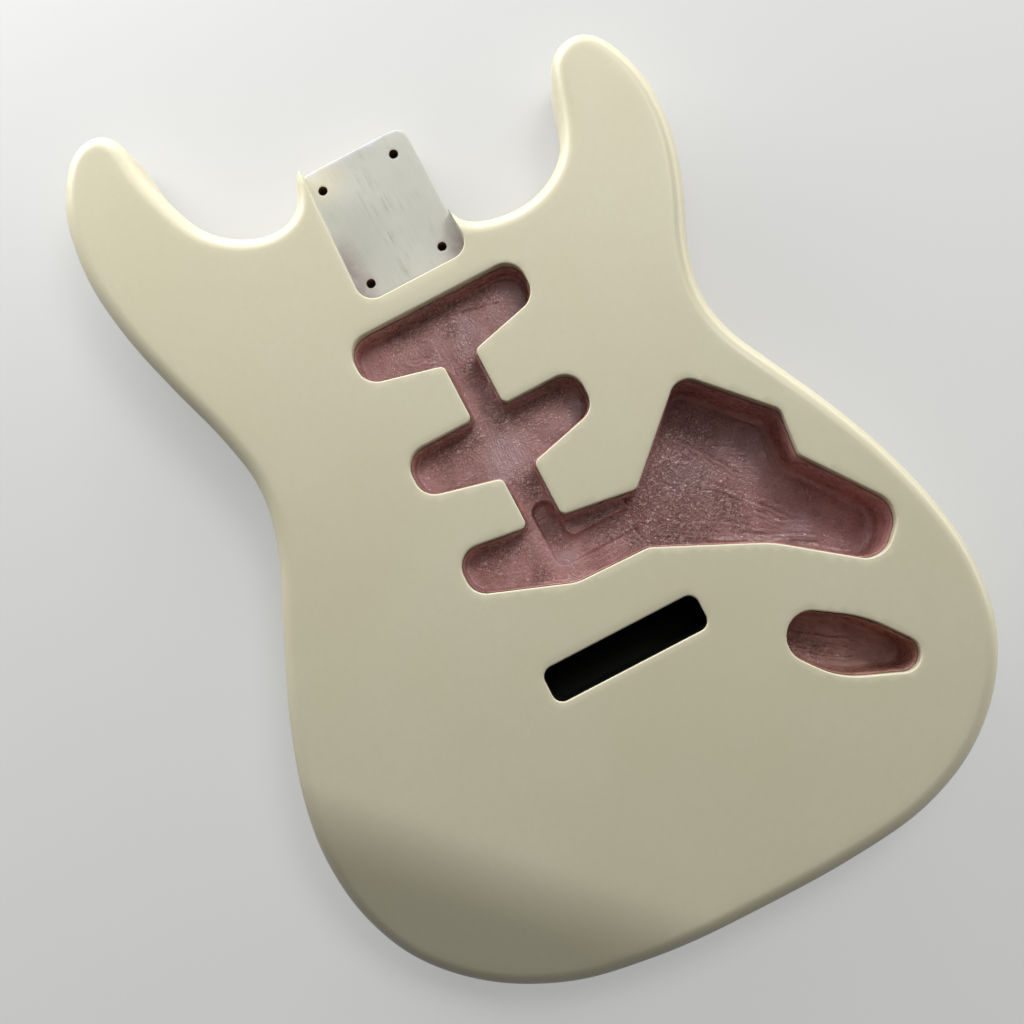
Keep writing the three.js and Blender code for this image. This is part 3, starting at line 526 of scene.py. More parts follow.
# %% Rims of the cavities, from the sizes of the solids
ROUTE_END = 44.3  # half the length of a pickup route
ROUTE_END_WIDTH = 21.2  # from its top edge to its corner at the end
ROUTE_MID_WIDTH = 30.2  # from its top edge to its widest place
HALF_CHANNEL = 8.1
CHANNEL_CORNER = 3.0
BRIDGE_TURN = 8  # degrees that the top edge of the bridge route is turned
NECK_ROUTE_TOP = -0.0266 * BODY_LENGTH
MID_ROUTE_TOP = NECK_ROUTE_TOP - 0.1268 * BODY_LENGTH
BRIDGE_TOP = -0.262 * BODY_LENGTH


def bridge_top(x):
    """Top edge of the bridge route, which is turned a little."""
    return BRIDGE_TOP - (x + ROUTE_END) * math.tan(math.radians(BRIDGE_TURN))


def route_half(side, top):
    """Three corners of one half of a pickup route, from its top edge at the end inwards."""
    return [
        [side * ROUTE_END, top, ROUTE_CORNER],
        [side * ROUTE_END, top - ROUTE_END_WIDTH, ROUTE_CORNER],
        [side * HALF_CHANNEL, top - ROUTE_MID_WIDTH, CHANNEL_CORNER],
    ]


control_rim = shares([
    [0.262, -0.3965, 6], [0.386, -0.464, 1.3], [0.4438, -0.4236, 1.3], [0.3526, -0.3335, 0.45],
    [0.3602, -0.2853, 0.6], [0.257, -0.2065, 0.9], [0.1325, -0.2895, 0.4],
]).tolist()
control_mouth = shares([[0.11, -0.3455, 0.8]]).tolist()
main_corners = (
    route_half(-1, NECK_ROUTE_TOP)
    + [[-HALF_CHANNEL, MID_ROUTE_TOP, CHANNEL_CORNER]]
    + route_half(-1, MID_ROUTE_TOP)
    + [[-HALF_CHANNEL, bridge_top(-HALF_CHANNEL), CHANNEL_CORNER]]
    + [[-ROUTE_END, BRIDGE_TOP, ROUTE_CORNER], [-ROUTE_END, -0.3078 * BODY_LENGTH, ROUTE_CORNER]]
    + shares([[0, -0.3435, 2]]).tolist()
    + control_mouth
    + control_rim
    + [[HALF_CHANNEL, bridge_top(HALF_CHANNEL), CHANNEL_CORNER]]
    + route_half(1, MID_ROUTE_TOP)[::-1]
    + [[HALF_CHANNEL, MID_ROUTE_TOP, CHANNEL_CORNER]]
    + route_half(1, NECK_ROUTE_TOP)[::-1]
)
STEP_X, STEP_TOP = 0.112 * BODY_WIDTH, -0.2945 * BODY_LENGTH
CONTROL_TOP = -108.0  # the control cavity's step is below this line, the pickup routes above it
TRENCH_X = 0.005 * BODY_WIDTH
TRENCH_HALF = 6.35
TRENCH_ROUND, TRENCH_CORNER = 6.05, 3.0  # radius at its ends, and of its inner corner
TRENCH_REACH = 5  # it runs this far past the step
BESIDE_ROUTE = 5  # farther than this beyond a route's end, all that is cut is control cavity
trench_top, trench_low = -0.252 * BODY_LENGTH, -0.3255 * BODY_LENGTH
trench_corners = [
    [TRENCH_X - TRENCH_HALF, trench_top, TRENCH_ROUND],
    [TRENCH_X - TRENCH_HALF, trench_low, TRENCH_ROUND],
    [STEP_X + TRENCH_REACH, trench_low, 0],
    [STEP_X + TRENCH_REACH, trench_low + 2 * TRENCH_HALF, 0],
    [TRENCH_X + TRENCH_HALF, trench_low + 2 * TRENCH_HALF, TRENCH_CORNER],
    [TRENCH_X + TRENCH_HALF, trench_top, TRENCH_ROUND],
]
jack_corners = shares([
    [0.2441, -0.462, 1.3], [0.2047, -0.4948, 1.3], [0.257, -0.5429, 4], [0.3479, -0.5694, 0.9],
    [0.3854, -0.5568, 0.9], [0.326, -0.5011, 6],
]).tolist()


slot_x, slot_y = 0.0168 * BODY_WIDTH, -0.4225 * BODY_LENGTH
SLOT_HALF, SLOT_WIDE, SLOT_CORNER = 39.0, 8.5, 5.0
slot_corners = [
    [slot_x + sx * SLOT_HALF, slot_y + sy * SLOT_WIDE, SLOT_CORNER]
    for sx, sy in ((-1, -1), (1, -1), (1, 1), (-1, 1))
]
SPRING_HALF, SPRING_TOP, SPRING_CORNER = 28.6, -0.175 * BODY_LENGTH, 6
BLOCK_RIM = 5.0  # the spring cavity is this much wider than the slot
low_y, high_y = slot_y - SLOT_WIDE - BLOCK_RIM, slot_y + SLOT_WIDE + BLOCK_RIM
low_x, high_x = slot_x - SLOT_HALF - BLOCK_RIM, slot_x + SLOT_HALF + BLOCK_RIM
spring_corners = [[x, y, SPRING_CORNER] for x, y in (
    (low_x, low_y), (high_x, low_y), (high_x, high_y), (SPRING_HALF, high_y),
    (SPRING_HALF, SPRING_TOP), (-SPRING_HALF, SPRING_TOP), (-SPRING_HALF, high_y),
    (low_x, high_y))]
pocket_half = POCKET_WIDTH / 2
pocket_corners = rounded([
    [-pocket_half, 0, POCKET_CORNER], [pocket_half, 0, POCKET_CORNER],
    [pocket_half, 2 * POCKET_LENGTH, 0],
    [-pocket_half + 2 * POCKET_LEAN, 2 * POCKET_LENGTH, 0],
])[:2 * (CORNER_FACETS + 1)]  # the arcs of the two inner corners

RIM_STEP = 1.0
main_rim = respace(rounded(main_corners), RIM_STEP)
jack_rim = respace(rounded(jack_corners), RIM_STEP)
slot_rim = respace(rounded(slot_corners), RIM_STEP)
spring_rim = respace(rounded(spring_corners), RIM_STEP)
pocket_wall = respace(
    np.concatenate((outline[MAIN_SIDE:MAIN_SIDE + 1], pocket_corners, outline[:1])),
    RIM_STEP, closed=False)
pocket_wall[0], pocket_wall[-1] = outline[MAIN_SIDE], outline[0]
heel_edge = np.concatenate((outline[MAIN_SIDE:], outline[:1]))
pocket_loop = np.concatenate((pocket_wall[:-1], heel_edge[::-1][:-1]))

SCREW_RADIUS, SCREW_POINTS = 2.25, 40
SCREW_SPAN_X, SCREW_SPAN_Y = 38.1, 50.8
screw_middle = np.array([-0.029 * POCKET_WIDTH, 0.509 * POCKET_LENGTH])
screw_places = [
    screw_middle + (sx * SCREW_SPAN_X / 2, sy * SCREW_SPAN_Y / 2) for sx in (-1, 1) for sy in (-1, 1)]
screw_rims = [
    exact(arc(place, SCREW_RADIUS, 0, 360, SCREW_POINTS + 1)[:-1]) for place in screw_places]
print(f"rims: main {len(main_rim)}, jack {len(jack_rim)}, slot {len(slot_rim)},"
      f" springs {len(spring_rim)}, pocket wall {len(pocket_wall)} points")

# %% [markdown]
# ## Heights
#
# The front is a flat face that falls away under the player's forearm, first along a parabola and
# then straight. The back is flat but for the hollow that meets the player's ribs. Every edge is
# a quarter circle of the distance to the nearest curve, so that one formula rounds the whole rim.

# %% Height of the front, the back and the floors
FOREARM_START = np.array([-0.438 * BODY_WIDTH, -0.406 * BODY_LENGTH])
FOREARM_END = np.array([-0.032 * BODY_WIDTH, -0.702 * BODY_LENGTH])
FOREARM_BLEND, FOREARM_DROP = 33.0, 16.0
BELLY = np.array([-0.137 * BODY_WIDTH, -0.108 * BODY_LENGTH])
BELLY_RADIUS, BELLY_RATE = 197.0, math.tan(math.radians(14.5))
RIM_RADIUS = 0.8  # how far the rims of the cavities are sanded round
POCKET_RIM = 0.6
FLOOR_EDGE = 0.4  # the worn edge of the pocket's floor
SCREW_RIM = 0.12
HEEL_HALF, HEEL_START = 34, 44  # the heel's small bevel holds within these, across and along
HEEL_BLEND_X, HEEL_BLEND_Y = 16, 18  # and grows to the full round-over in these distances

forearm_line = (FOREARM_END - FOREARM_START) / np.hypot(*(FOREARM_END - FOREARM_START))


def beyond_forearm(points):
    """Distance beyond the line where the forearm bevel starts, towards the edge."""
    dx, dy = (points - FOREARM_START).T
    return dx * forearm_line[1] - dy * forearm_line[0]


forearm_slope = FOREARM_DROP / (beyond_forearm(outline).max() - FOREARM_BLEND / 2)


def front_face(points):
    """Height of the front before its edges are rounded: a parabola, then a straight slope."""
    beyond = np.maximum(beyond_forearm(points), 0)
    bend = forearm_slope * beyond**2 / (2 * FOREARM_BLEND)
    return BODY_THICKNESS - np.where(
        beyond < FOREARM_BLEND, bend, forearm_slope * (beyond - FOREARM_BLEND / 2))


def rim_fall(points, rims):
    """Fall of a face at the nearest of several rounded rims: (curve, closed, radius)."""
    falls = [quarter(nearest(points, rim, closed)[0], radius) for rim, closed, radius in rims]
    return np.max(falls, axis=0)


front_rims = [
    (main_rim, True, RIM_RADIUS), (jack_rim, True, RIM_RADIUS), (slot_rim, True, RIM_RADIUS),
    (pocket_wall, False, POCKET_RIM),
]
back_rims = [(spring_rim, True, RIM_RADIUS)] + [(rim, True, SCREW_RIM) for rim in screw_rims]


def front_height(points):
    """The front face, less the round-over and the rounded rims."""
    edge = quarter(nearest(points, outline)[0], EDGE_RADIUS)
    return front_face(points) - edge - rim_fall(points, front_rims)


def pocket_height(points):
    """The pocket's floor, less its worn edge at the heel and at the screw holes."""
    rims = [(heel_edge, False, FLOOR_EDGE)] + [(rim, True, SCREW_RIM) for rim in screw_rims]
    return POCKET_FLOOR - rim_fall(points, rims)


def back_radius(points):
    """Radius of the lower edge: it shrinks to the heel's small bevel under the pocket."""
    x, y = points.T
    from_heel = np.maximum(np.abs(x) - HEEL_HALF, 0) / HEEL_BLEND_X
    from_heel = from_heel + np.maximum(HEEL_START - y, 0) / HEEL_BLEND_Y
    return EDGE_RADIUS + (HEEL_BEVEL - EDGE_RADIUS) * ease(1 - from_heel)


def belly_rise(points):
    """Rise of the back in the scoop: a straight slope across, less a parabola along."""
    x, y = points.T
    rise = (BELLY[0] - x) * BELLY_RATE - (y - BELLY[1]) ** 2 / (2 * BELLY_RADIUS)
    return np.maximum(rise, 0)


def back_height(points):
    """The back: the lower round-over and the scoop, and the rounded rims of its openings."""
    radius = back_radius(points)
    edge = quarter(nearest(points, outline)[0], radius)
    return edge + belly_rise(points) + rim_fall(points, back_rims)


def cavity_level(points, inset, before, after):
    """Floor of the joined cavities: the routes' level, falling to the trench's and the control
    cavity's across cliffs that start and end at these distances from their edges."""
    x, y = points.T
    by_control = (y < CONTROL_TOP) | (x > ROUTE_END + BESIDE_ROUTE)
    deep = np.where(by_control, x - STEP_X - inset, -ROUTE_END)
    trench = depth_in(points, exact(rounded(trench_corners, inset)))
    fall = (ROUTE_LEVEL - TRENCH_LEVEL) * ease((trench - before) / (after - before))
    deeper = (ROUTE_LEVEL - CONTROL_LEVEL) * ease((deep - before) / (after - before))
    return ROUTE_LEVEL - np.maximum(fall, deeper)


print(f"forearm bevel: {math.degrees(math.atan(forearm_slope)):.1f} degrees")

# %% [markdown]
# ## Materials
#
# The lacquer is cream, even and half glossy, with the faint waviness that sprayed paint keeps.
# The pocket was masked, so it shows greyish primer with dark grain. The cavities are brushed with
# dusky pink shielding paint. Colours vary by noise on the object's own coordinates, which stay put
# from every side, and constants sit directly on the shader's sockets so that the export has them.

# %% Node helpers
def colour(red, green, blue):
    """A colour written in screen values of 0 to 255, as the linear values that shaders use."""
    screen = np.array([red, green, blue]) / 255
    linear = np.where(screen <= 0.04045, screen / 12.92, ((screen + 0.055) / 1.055) ** 2.4)
    return (*linear.tolist(), 1.0)


class Finish:
    """A material under construction: its nodes, its shader and its object coordinates."""

    def __init__(self, name, roughness, specular=0.5):
        self.material = bpy.data.materials.new(name)
        self.material.use_nodes = True
        self.nodes = self.material.node_tree.nodes
        self.links = self.material.node_tree.links
        self.shader = self.nodes["Principled BSDF"]
        self.shader.inputs["Roughness"].default_value = roughness
        self.shader.inputs["Specular IOR Level"].default_value = specular
        self.place = self.nodes.new("ShaderNodeTexCoord").outputs["Object"]

    def put(self, value, socket):
        """A link or a plain value into a socket."""
        if isinstance(value, bpy.types.NodeSocket):
            self.links.new(value, socket)
        else:
            socket.default_value = value

    def noise(self, size, detail=2.0, place=None, stretch=(1, 1, 1), distortion=0.0):
        """Noise with features of a size in millimetres, stretched along the axes."""
        mapping = self.nodes.new("ShaderNodeMapping")
        self.put(self.place if place is None else place, mapping.inputs["Vector"])
        mapping.inputs["Scale"].default_value = [1 / (size * MM * s) for s in stretch]
        node = self.nodes.new("ShaderNodeTexNoise")
        self.put(mapping.outputs[0], node.inputs["Vector"])
        node.inputs["Scale"].default_value = 1.0
        node.inputs["Detail"].default_value = detail
        node.inputs["Roughness"].default_value = 0.5
        node.inputs["Distortion"].default_value = distortion
        return node.outputs["Fac"]

    def span(self, value, low, high, to_low=0.0, to_high=1.0):
        """Maps a value from one range to another, smoothly and clamped."""
        node = self.nodes.new("ShaderNodeMapRange")
        node.interpolation_type = "SMOOTHSTEP"
        self.put(value, node.inputs["Value"])
        for name, number in zip(("From Min", "From Max", "To Min", "To Max"),
                                (low, high, to_low, to_high)):
            node.inputs[name].default_value = number
        return node.outputs["Result"]

    def math(self, operation, a, b=0.0):
        """One arithmetic step."""
        node = self.nodes.new("ShaderNodeMath")
        node.operation = operation
        self.put(a, node.inputs[0])
        self.put(b, node.inputs[1])
        return node.outputs[0]

    def times(self, a, b):
        """Product of two values."""
        return self.math("MULTIPLY", a, b)

    def mix(self, share, a, b):
        """Blend of two colours."""
        node = self.nodes.new("ShaderNodeMix")
        node.data_type = "RGBA"
        self.put(share, node.inputs["Factor"])
        self.put(a, node.inputs["A"])
        self.put(b, node.inputs["B"])
        return node.outputs["Result"]

    def attribute(self, name, output):
        """A number or a vector stored on the mesh."""
        node = self.nodes.new("ShaderNodeAttribute")
        node.attribute_name = name
        return node.outputs[output]

    def axis(self, name):
        """One coordinate of the object, in metres."""
        node = self.nodes.new("ShaderNodeSeparateXYZ")
        self.put(self.place, node.inputs[0])
        return node.outputs[name]

    def base_colour(self, base):
        """The colour of the surface."""
        self.put(base, self.shader.inputs["Base Color"])

    def bump(self, height, depth):
        """Bump of a depth in millimetres, stacked on any bump made before."""
        node = self.nodes.new("ShaderNodeBump")
        node.inputs["Distance"].default_value = depth * MM
        node.inputs["Strength"].default_value = 1.0
        self.put(height, node.inputs["Height"])
        linked = self.shader.inputs["Normal"].links
        if linked:
            self.links.new(linked[0].from_socket, node.inputs["Normal"])
        self.links.new(node.outputs["Normal"], self.shader.inputs["Normal"])


# %% Cream lacquer
lacquer = Finish("cream_lacquer", 0.34, specular=0.4)
cloud = lacquer.noise(70, detail=3)
base = lacquer.mix(lacquer.span(cloud, 0.2, 0.8), colour(209, 203, 177), colour(205, 198, 170))
speckle = lacquer.noise(3, detail=3)
base = lacquer.mix(lacquer.span(speckle, 0.2, 0.8, 0, 0.25), base, colour(198, 191, 163))
lacquer.base_colour(base)
rough = lacquer.span(lacquer.noise(40, detail=1), 0.1, 0.9, 0.31, 0.38)
lacquer.put(rough, lacquer.shader.inputs["Roughness"])
lacquer.bump(lacquer.noise(1.6, detail=2), 0.012)
lacquer.bump(lacquer.noise(14, detail=1), 0.02)
print("cream lacquer ready")

# %% Grey primer of the neck pocket, with places in metres
primer = Finish("pocket_primer", 0.55)
grain = primer.noise(1.1, detail=4, stretch=(1, 16, 6), distortion=0.6)
strokes = primer.span(grain, 0.42, 0.85)
worn = primer.span(primer.noise(9, detail=4), 0.35, 0.75)
cloudy = primer.span(primer.noise(24, detail=3), 0.2, 0.8)
base = primer.mix(cloudy, colour(194, 194, 183), colour(183, 183, 172))
across, along = primer.axis("X"), primer.axis("Y")
off_seam = primer.math("ABSOLUTE", primer.math("ADD", across, 0.0015))
in_seam = primer.span(off_seam, 0.009, 0.002, 0.35, 1.0)
strokes = primer.times(primer.times(strokes, worn), in_seam)
base = primer.mix(strokes, base, colour(132, 130, 116))
front_left = primer.times(primer.span(along, 0.05, 0.066), primer.span(across, 0.0, -0.02))
base = primer.mix(primer.times(front_left, 0.5), base, colour(214, 206, 176))
# darker and pinker along the left wall, in the corner at the right of the pocket's end, and at that
# end
at_wall = primer.times(primer.span(along, 0.046, 0.02), primer.span(across, -0.016, -0.0275))
in_corner = primer.times(primer.span(along, 0.03, 0.004), primer.span(across, 0.008, 0.026))
at_end = primer.span(along, 0.008, 0.0, 0, 0.5)
darker_near_walls = primer.math("MAXIMUM", primer.math("MAXIMUM", at_wall, in_corner), at_end)
darker_near_walls = primer.times(darker_near_walls, primer.span(primer.noise(3.5, detail=4), 0.2, 0.6, 0.5, 1))
base = primer.mix(primer.times(darker_near_walls, 0.62), base, colour(134, 112, 112))
# a pale bluish band across the floor near the pocket's open end
pale_band_at_heel = primer.times(primer.span(along, 0.069, 0.0738), primer.span(primer.noise(6), 0.3, 0.7))
base = primer.mix(primer.times(pale_band_at_heel, 0.7), base, colour(206, 207, 222))
primer.base_colour(base)
primer.bump(grain, 0.05)
print("pocket primer ready")

# %% Near-black surface of the tremolo slot and the spring cavity
recess = Finish("near_black_recess", 0.6, specular=0.3)
base = recess.mix(recess.noise(5, detail=2), colour(17, 17, 14), colour(27, 26, 22))
recess.base_colour(base)
recess.bump(recess.noise(1.2, detail=3), 0.05)

raw_wood = Finish("raw_wood", 0.7)
grain = raw_wood.noise(1.5, detail=4, stretch=(1, 25, 1))
base = raw_wood.mix(grain, colour(150, 118, 82), colour(104, 74, 48))
raw_wood.base_colour(base)
print("recess paint and raw wood ready")

# %% [markdown]
# ## The body
#
# On the real object the three boards disappear under the lacquer, so one closed piece stands for
# them. Its side is a strip along the outline. Its front and back are sheets, with rings of points
# close to each rounded edge, where the surface turns fastest, and a wide grid elsewhere.

# %% Points for the sheets
LACQUER, PRIMER, RECESS, RAW_WOOD = range(4)  # material numbers of the body
PLAN_LOW, PLAN_HIGH = (-170, -332), (170, 136)  # corners of a box round the body, in plan
FACE_GRID = 3.6  # spacing of points on the front and the back
OWN_GAP = 0.98  # a ring's point stays if it keeps this share of its distance from the curve


def rings(loop, normal, distances, clear_of):
    """Rings of points at distances from a curve, without those that come closer to any of the
    curves in clear_of than their gap: (curve, closed, gap)."""
    placed = (loop[None] + normal[None] * np.asarray(distances)[:, None, None]).reshape(-1, 2)
    own = np.repeat(distances, len(loop))
    keep = np.ones(len(placed), bool)
    for curve, closed, gap in clear_of:
        gap = own * OWN_GAP if gap is None else gap
        keep &= nearest(placed, curve, closed)[0] > gap - 1e-6
    return placed[keep]


def rim_rings(rim, radius, count):
    """Rings round a rim where its quarter circle has turned by even angles."""
    return rings(rim, -inward(rim), quarter_steps(radius, count), [(rim, True, None)])


def away(points, clear_of):
    """Points farther from every curve than its gap."""
    keep = np.ones(len(points), bool)
    for curve, closed, gap in clear_of:
        keep &= nearest(points, curve, closed)[0] > gap
    return points[keep]


openings = [main_rim, jack_rim, slot_rim]
opening_rings = [rim_rings(rim, RIM_RADIUS, 4) for rim in openings]
wall_rings = rings(
    pocket_wall, right_normal(pocket_wall), quarter_steps(POCKET_RIM, 3),
    [(pocket_wall, False, None), (outline, True, 0.25)])
outline_rings = rings(
    outline, outline_normal, quarter_steps(EDGE_RADIUS, 10),
    [(outline, True, None), (pocket_wall, False, POCKET_RIM + 0.2)])
fill = away(
    grid_points(PLAN_LOW, PLAN_HIGH, FACE_GRID),
    [(outline, True, EDGE_RADIUS + 1)]
    + [(rim, closed, RIM_RADIUS + 0.8) for rim, closed, _ in front_rims])
print(f"front: {len(outline_rings)} points in the round-over, {len(fill)} on the face")

# %% Front, pocket and side
scattered = np.concatenate(opening_rings + [wall_rings, outline_rings, fill])
on_front = region(outline, *openings, pocket_loop)
plan, triangles = sheet_plan(
    [(outline, True), (pocket_wall, False)] + [(rim, True) for rim in openings],
    scattered[on_front(scattered)], on_front)
front_patch = (lifted(plan, front_height(plan)), triangles, LACQUER)

floor_gaps = [(heel_edge, False, FLOOR_EDGE + 0.6), (pocket_wall, False, 0.6)]
floor_fill = away(
    grid_points((-29, 0), (29, 74), 1.8),
    floor_gaps + [(rim, True, SCREW_RIM + 0.5) for rim in screw_rims])
floor_rings = [rings(
    heel_edge, right_normal(heel_edge), quarter_steps(FLOOR_EDGE, 3),
    [(heel_edge, False, None), (pocket_wall, False, 0.3)])]
floor_rings += [rim_rings(rim, SCREW_RIM, 3) for rim in screw_rims]
plan, triangles = loop_plan(pocket_loop, screw_rims, np.concatenate(floor_rings + [floor_fill]))
pocket_patch = (lifted(plan, pocket_height(plan)), triangles, PRIMER)

WALL_STEPS = 4
side = outline[:MAIN_SIDE + 1]
side_low, side_high = back_height(side), front_height(side)
SHELF_SHARE = 0.9  # the side's points line up with the pocket's floor, or stop at this share
shelf = np.minimum(POCKET_FLOOR - FLOOR_EDGE, side_low + SHELF_SHARE * (side_high - side_low))
heel_low = back_height(heel_edge)
patches = [
    front_patch,
    pocket_patch,
]
for path, low, high, material in (
        (side, side_low, shelf, LACQUER), (side, shelf, side_high, LACQUER),
        (heel_edge, heel_low, pocket_height(heel_edge), LACQUER),
        (pocket_wall, pocket_height(pocket_wall), front_height(pocket_wall), PRIMER)):
    patches.append((*between(path, low, high, WALL_STEPS, closed=False), material))
print(f"front sheet {len(front_patch[1])} and pocket floor {len(pocket_patch[1])} triangles")

# %% Walls and floors of the cavities, and the back
BAND = 11.0  # the lacquer reaches this far down the walls of the cavities
HIDDEN_CLIFF = (0.0, -0.4, 0.1)  # inset of the cliffs, and where they start and end
HIDDEN_GRID, HIDDEN_GAP = 4.0, 1.5  # spacing of points under the coat, and from the walls
CLIFF_STEP = 1.5


def wood_walls(rim, floor):
    """Wall from a rim to a floor: a lacquered band at the top, and bare wood under the coat."""
    top = front_height(rim)
    band = top - BAND
    return [(*between(rim, band, top, 3), LACQUER), (*between(rim, floor, band, 2), RAW_WOOD)]


def hidden_floor(rim, scattered, level):
    """Floor and walls of a coated cavity in the wood."""
    plan, triangles = loop_plan(rim, [], scattered)
    return [(lifted(plan, level(plan)), triangles, RAW_WOOD), *wood_walls(rim, level(rim))]


def hidden_level(points):
    """Floor of the joined cavities in the wood, a hair under the coat."""
    return cavity_level(points, *HIDDEN_CLIFF)


def jack_bottom(points):
    """Floor of the jack cavity in the wood."""
    return np.full(len(points), JACK_LEVEL)


def cliff_points(inset, spacing):
    """Points along the edges of the step and the trench, moved inwards by an inset."""
    y = np.arange(control_mouth[0][1], STEP_TOP, spacing)
    step = np.column_stack((np.full(len(y), STEP_X + inset), y))
    return np.concatenate((step, respace(rounded(trench_corners, inset), spacing)))


hidden_fill = away(
    grid_points((-46, -215), (146, -10), HIDDEN_GRID), [(main_rim, True, HIDDEN_GAP)])
cliff = np.concatenate([cliff_points(inset, CLIFF_STEP) for inset in (-0.4, -0.15, 0.1)])
cliff = away(cliff, [(main_rim, True, 0.3)])
patches += hidden_floor(main_rim, np.concatenate((hidden_fill, cliff)), hidden_level)
jack_fill = away(
    grid_points((60, -270), (132, -208), HIDDEN_GRID), [(jack_rim, True, HIDDEN_GAP)])
patches += hidden_floor(jack_rim, jack_fill, jack_bottom)

patches.append((*between(slot_rim, SPRING_DEPTH, front_height(slot_rim), 4), RECESS))
spring_fill = away(
    grid_points((-50, -220), (60, -78), 5.0), [(spring_rim, True, 2), (slot_rim, True, 2)])
plan, triangles = loop_plan(spring_rim, [slot_rim], spring_fill)
patches.append((lifted(plan, np.full(len(plan), SPRING_DEPTH)), triangles, RECESS))
patches.append((*between(spring_rim, back_height(spring_rim), SPRING_DEPTH, 4), RECESS))
for rim in screw_rims:
    patches.append((*between(rim, back_height(rim), pocket_height(rim), 6), RAW_WOOD))

wanted = quarter_steps(1.0, 8)[:, None] * back_radius(outline)
back_points = (outline[None] + outline_normal[None] * wanted[..., None]).reshape(-1, 2)
back_points = back_points[nearest(back_points, outline)[0] > wanted.ravel() * OWN_GAP]
back_fill = away(
    grid_points(PLAN_LOW, PLAN_HIGH, FACE_GRID),
    [(outline, True, 4.0), (spring_rim, True, RIM_RADIUS + 0.8)]
    + [(rim, True, SCREW_RIM + 0.5) for rim in screw_rims])
deep_enough = nearest(back_fill, outline)[0] > back_radius(back_fill) + 1
back_rings = [rim_rings(rim, radius, 3) for rim, _, radius in back_rims]
scattered = np.concatenate([back_points, back_fill[deep_enough]] + back_rings)
plan, triangles = loop_plan(outline, [spring_rim, *screw_rims], scattered)
patches.append((lifted(plan, back_height(plan)), triangles, LACQUER))

body = piece_from(
    "lacquered_body", patches,
    [lacquer.material, primer.material, recess.material, raw_wood.material])
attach(body, "root")
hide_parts("bass_side_board", "centre_board", "treble_side_board")

# %% [markdown]
# ## The shielding coat
#
# Conductive paint is thick and dries as the brush left it: short winding ridges where it was
# dabbed, long grooves where it was drawn along a wall, smooth pools in between. Bump alone would
# look printed on, so the coat is painted: each stroke is a bent band of grooves that wipes out
# what lies under it, and the dabbed places and single marks are put where the photograph has
# them. The sum pushes the points of the coat's skin along their normals.

# %% A brush stroke
BRISTLES = ((1.9, 1.0), (2.9, 0.8), (5.3, 0.6))  # spacing of the ridges in mm, and their shares
SOFT_EDGE = 2.4  # how steeply a stroke's strength rises from its border
LIP_HEIGHT, LIP_PLACE, LIP_WIDTH = 1.5, 0.36, 0.6  # the place as a share of the stroke's length


def painted(u, v, strokes):
    """Height of overlapping strokes over two coordinates in millimetres. Across a stroke run
    three waves whose phases wander along it, and at its far end the brush leaves a lip."""
    order = np.argsort(u, kind="stable")
    sorted_u = u[order]
    height = np.zeros(len(u))
    for u0, v0, angle, length, width, bend, deep, phase in strokes:
        reach = math.hypot(length, width) / 2
        first, last = np.searchsorted(sorted_u, (u0 - reach, u0 + reach))
        near = order[first:last]
        near = near[np.abs(v[near] - v0) < reach]
        c, s = math.cos(angle), math.sin(angle)
        along = (u[near] - u0) * c + (v[near] - v0) * s
        across = (v[near] - v0) * c - (u[near] - u0) * s - bend * along**2
        window = ease(SOFT_EDGE * (1 - np.abs(2 * along / length)))
        window *= ease(SOFT_EDGE * (1 - np.abs(2 * across / width)))
        ripple = sum(
            share * np.sin(2 * math.pi / spacing * across + phase * k + np.sin(along / 6 + phase))
            for k, (spacing, share) in enumerate(BRISTLES, 1))
        lip = LIP_HEIGHT * np.exp(-((along - LIP_PLACE * length) / LIP_WIDTH) ** 2)
        height[near] += window * (deep * (ripple + lip) - height[near])
    return height


def strokes_at(draw, places, angle, length, width, bend, deep):
    """Strokes at places, each with sizes drawn evenly between two limits."""
    count = len(places)
    angle = angle + draw.normal(0, 0.28, count)
    sizes = [draw.uniform(*limits, count) for limits in (length, width, (-bend, bend), deep)]
    return np.column_stack((places, angle, *sizes, draw.uniform(0, 60, count)))


def drawn_marks(points, marks):
    """Single marks of the brush: a ridge along a curve, a bell curve of the distance from it,
    and the groove that was scraped out beside it. Both waver and die out at the ends."""
    total = np.zeros(len(points))
    for number, (rise, half_width, places) in enumerate(marks):
        ridge = smooth_path(np.array(places, float), 0.8)
        along = np.gradient(ridge, axis=0)
        beside = np.column_stack((-along[:, 1], along[:, 0])) / np.hypot(*along.T)[:, None]
        wander = noise(lifted(ridge / 5, np.full(len(ridge), 7.3 * number)))[:, None]
        ridge = ridge + 0.7 * wander * beside
        for path, height in ((ridge, rise), (ridge + 1.5 * half_width * beside, -0.7 * rise)):
            low, high = path.min(0) - 3 * half_width, path.max(0) + 3 * half_width
            near = np.flatnonzero(((points > low) & (points < high)).all(1))
            gap, place = nearest(points[near], path, closed=False)
            end = np.hypot(*np.diff(path, axis=0).T).sum()
            taper = ease(place / 3) * ease((end - place) / 3)
            strength = 0.8 + 0.6 * noise(lifted(points[near] / 3, np.full(len(near), number)))
            total[near] += height * taper * strength * np.exp(-((gap / half_width) ** 2))
    return total


print("brush ready")

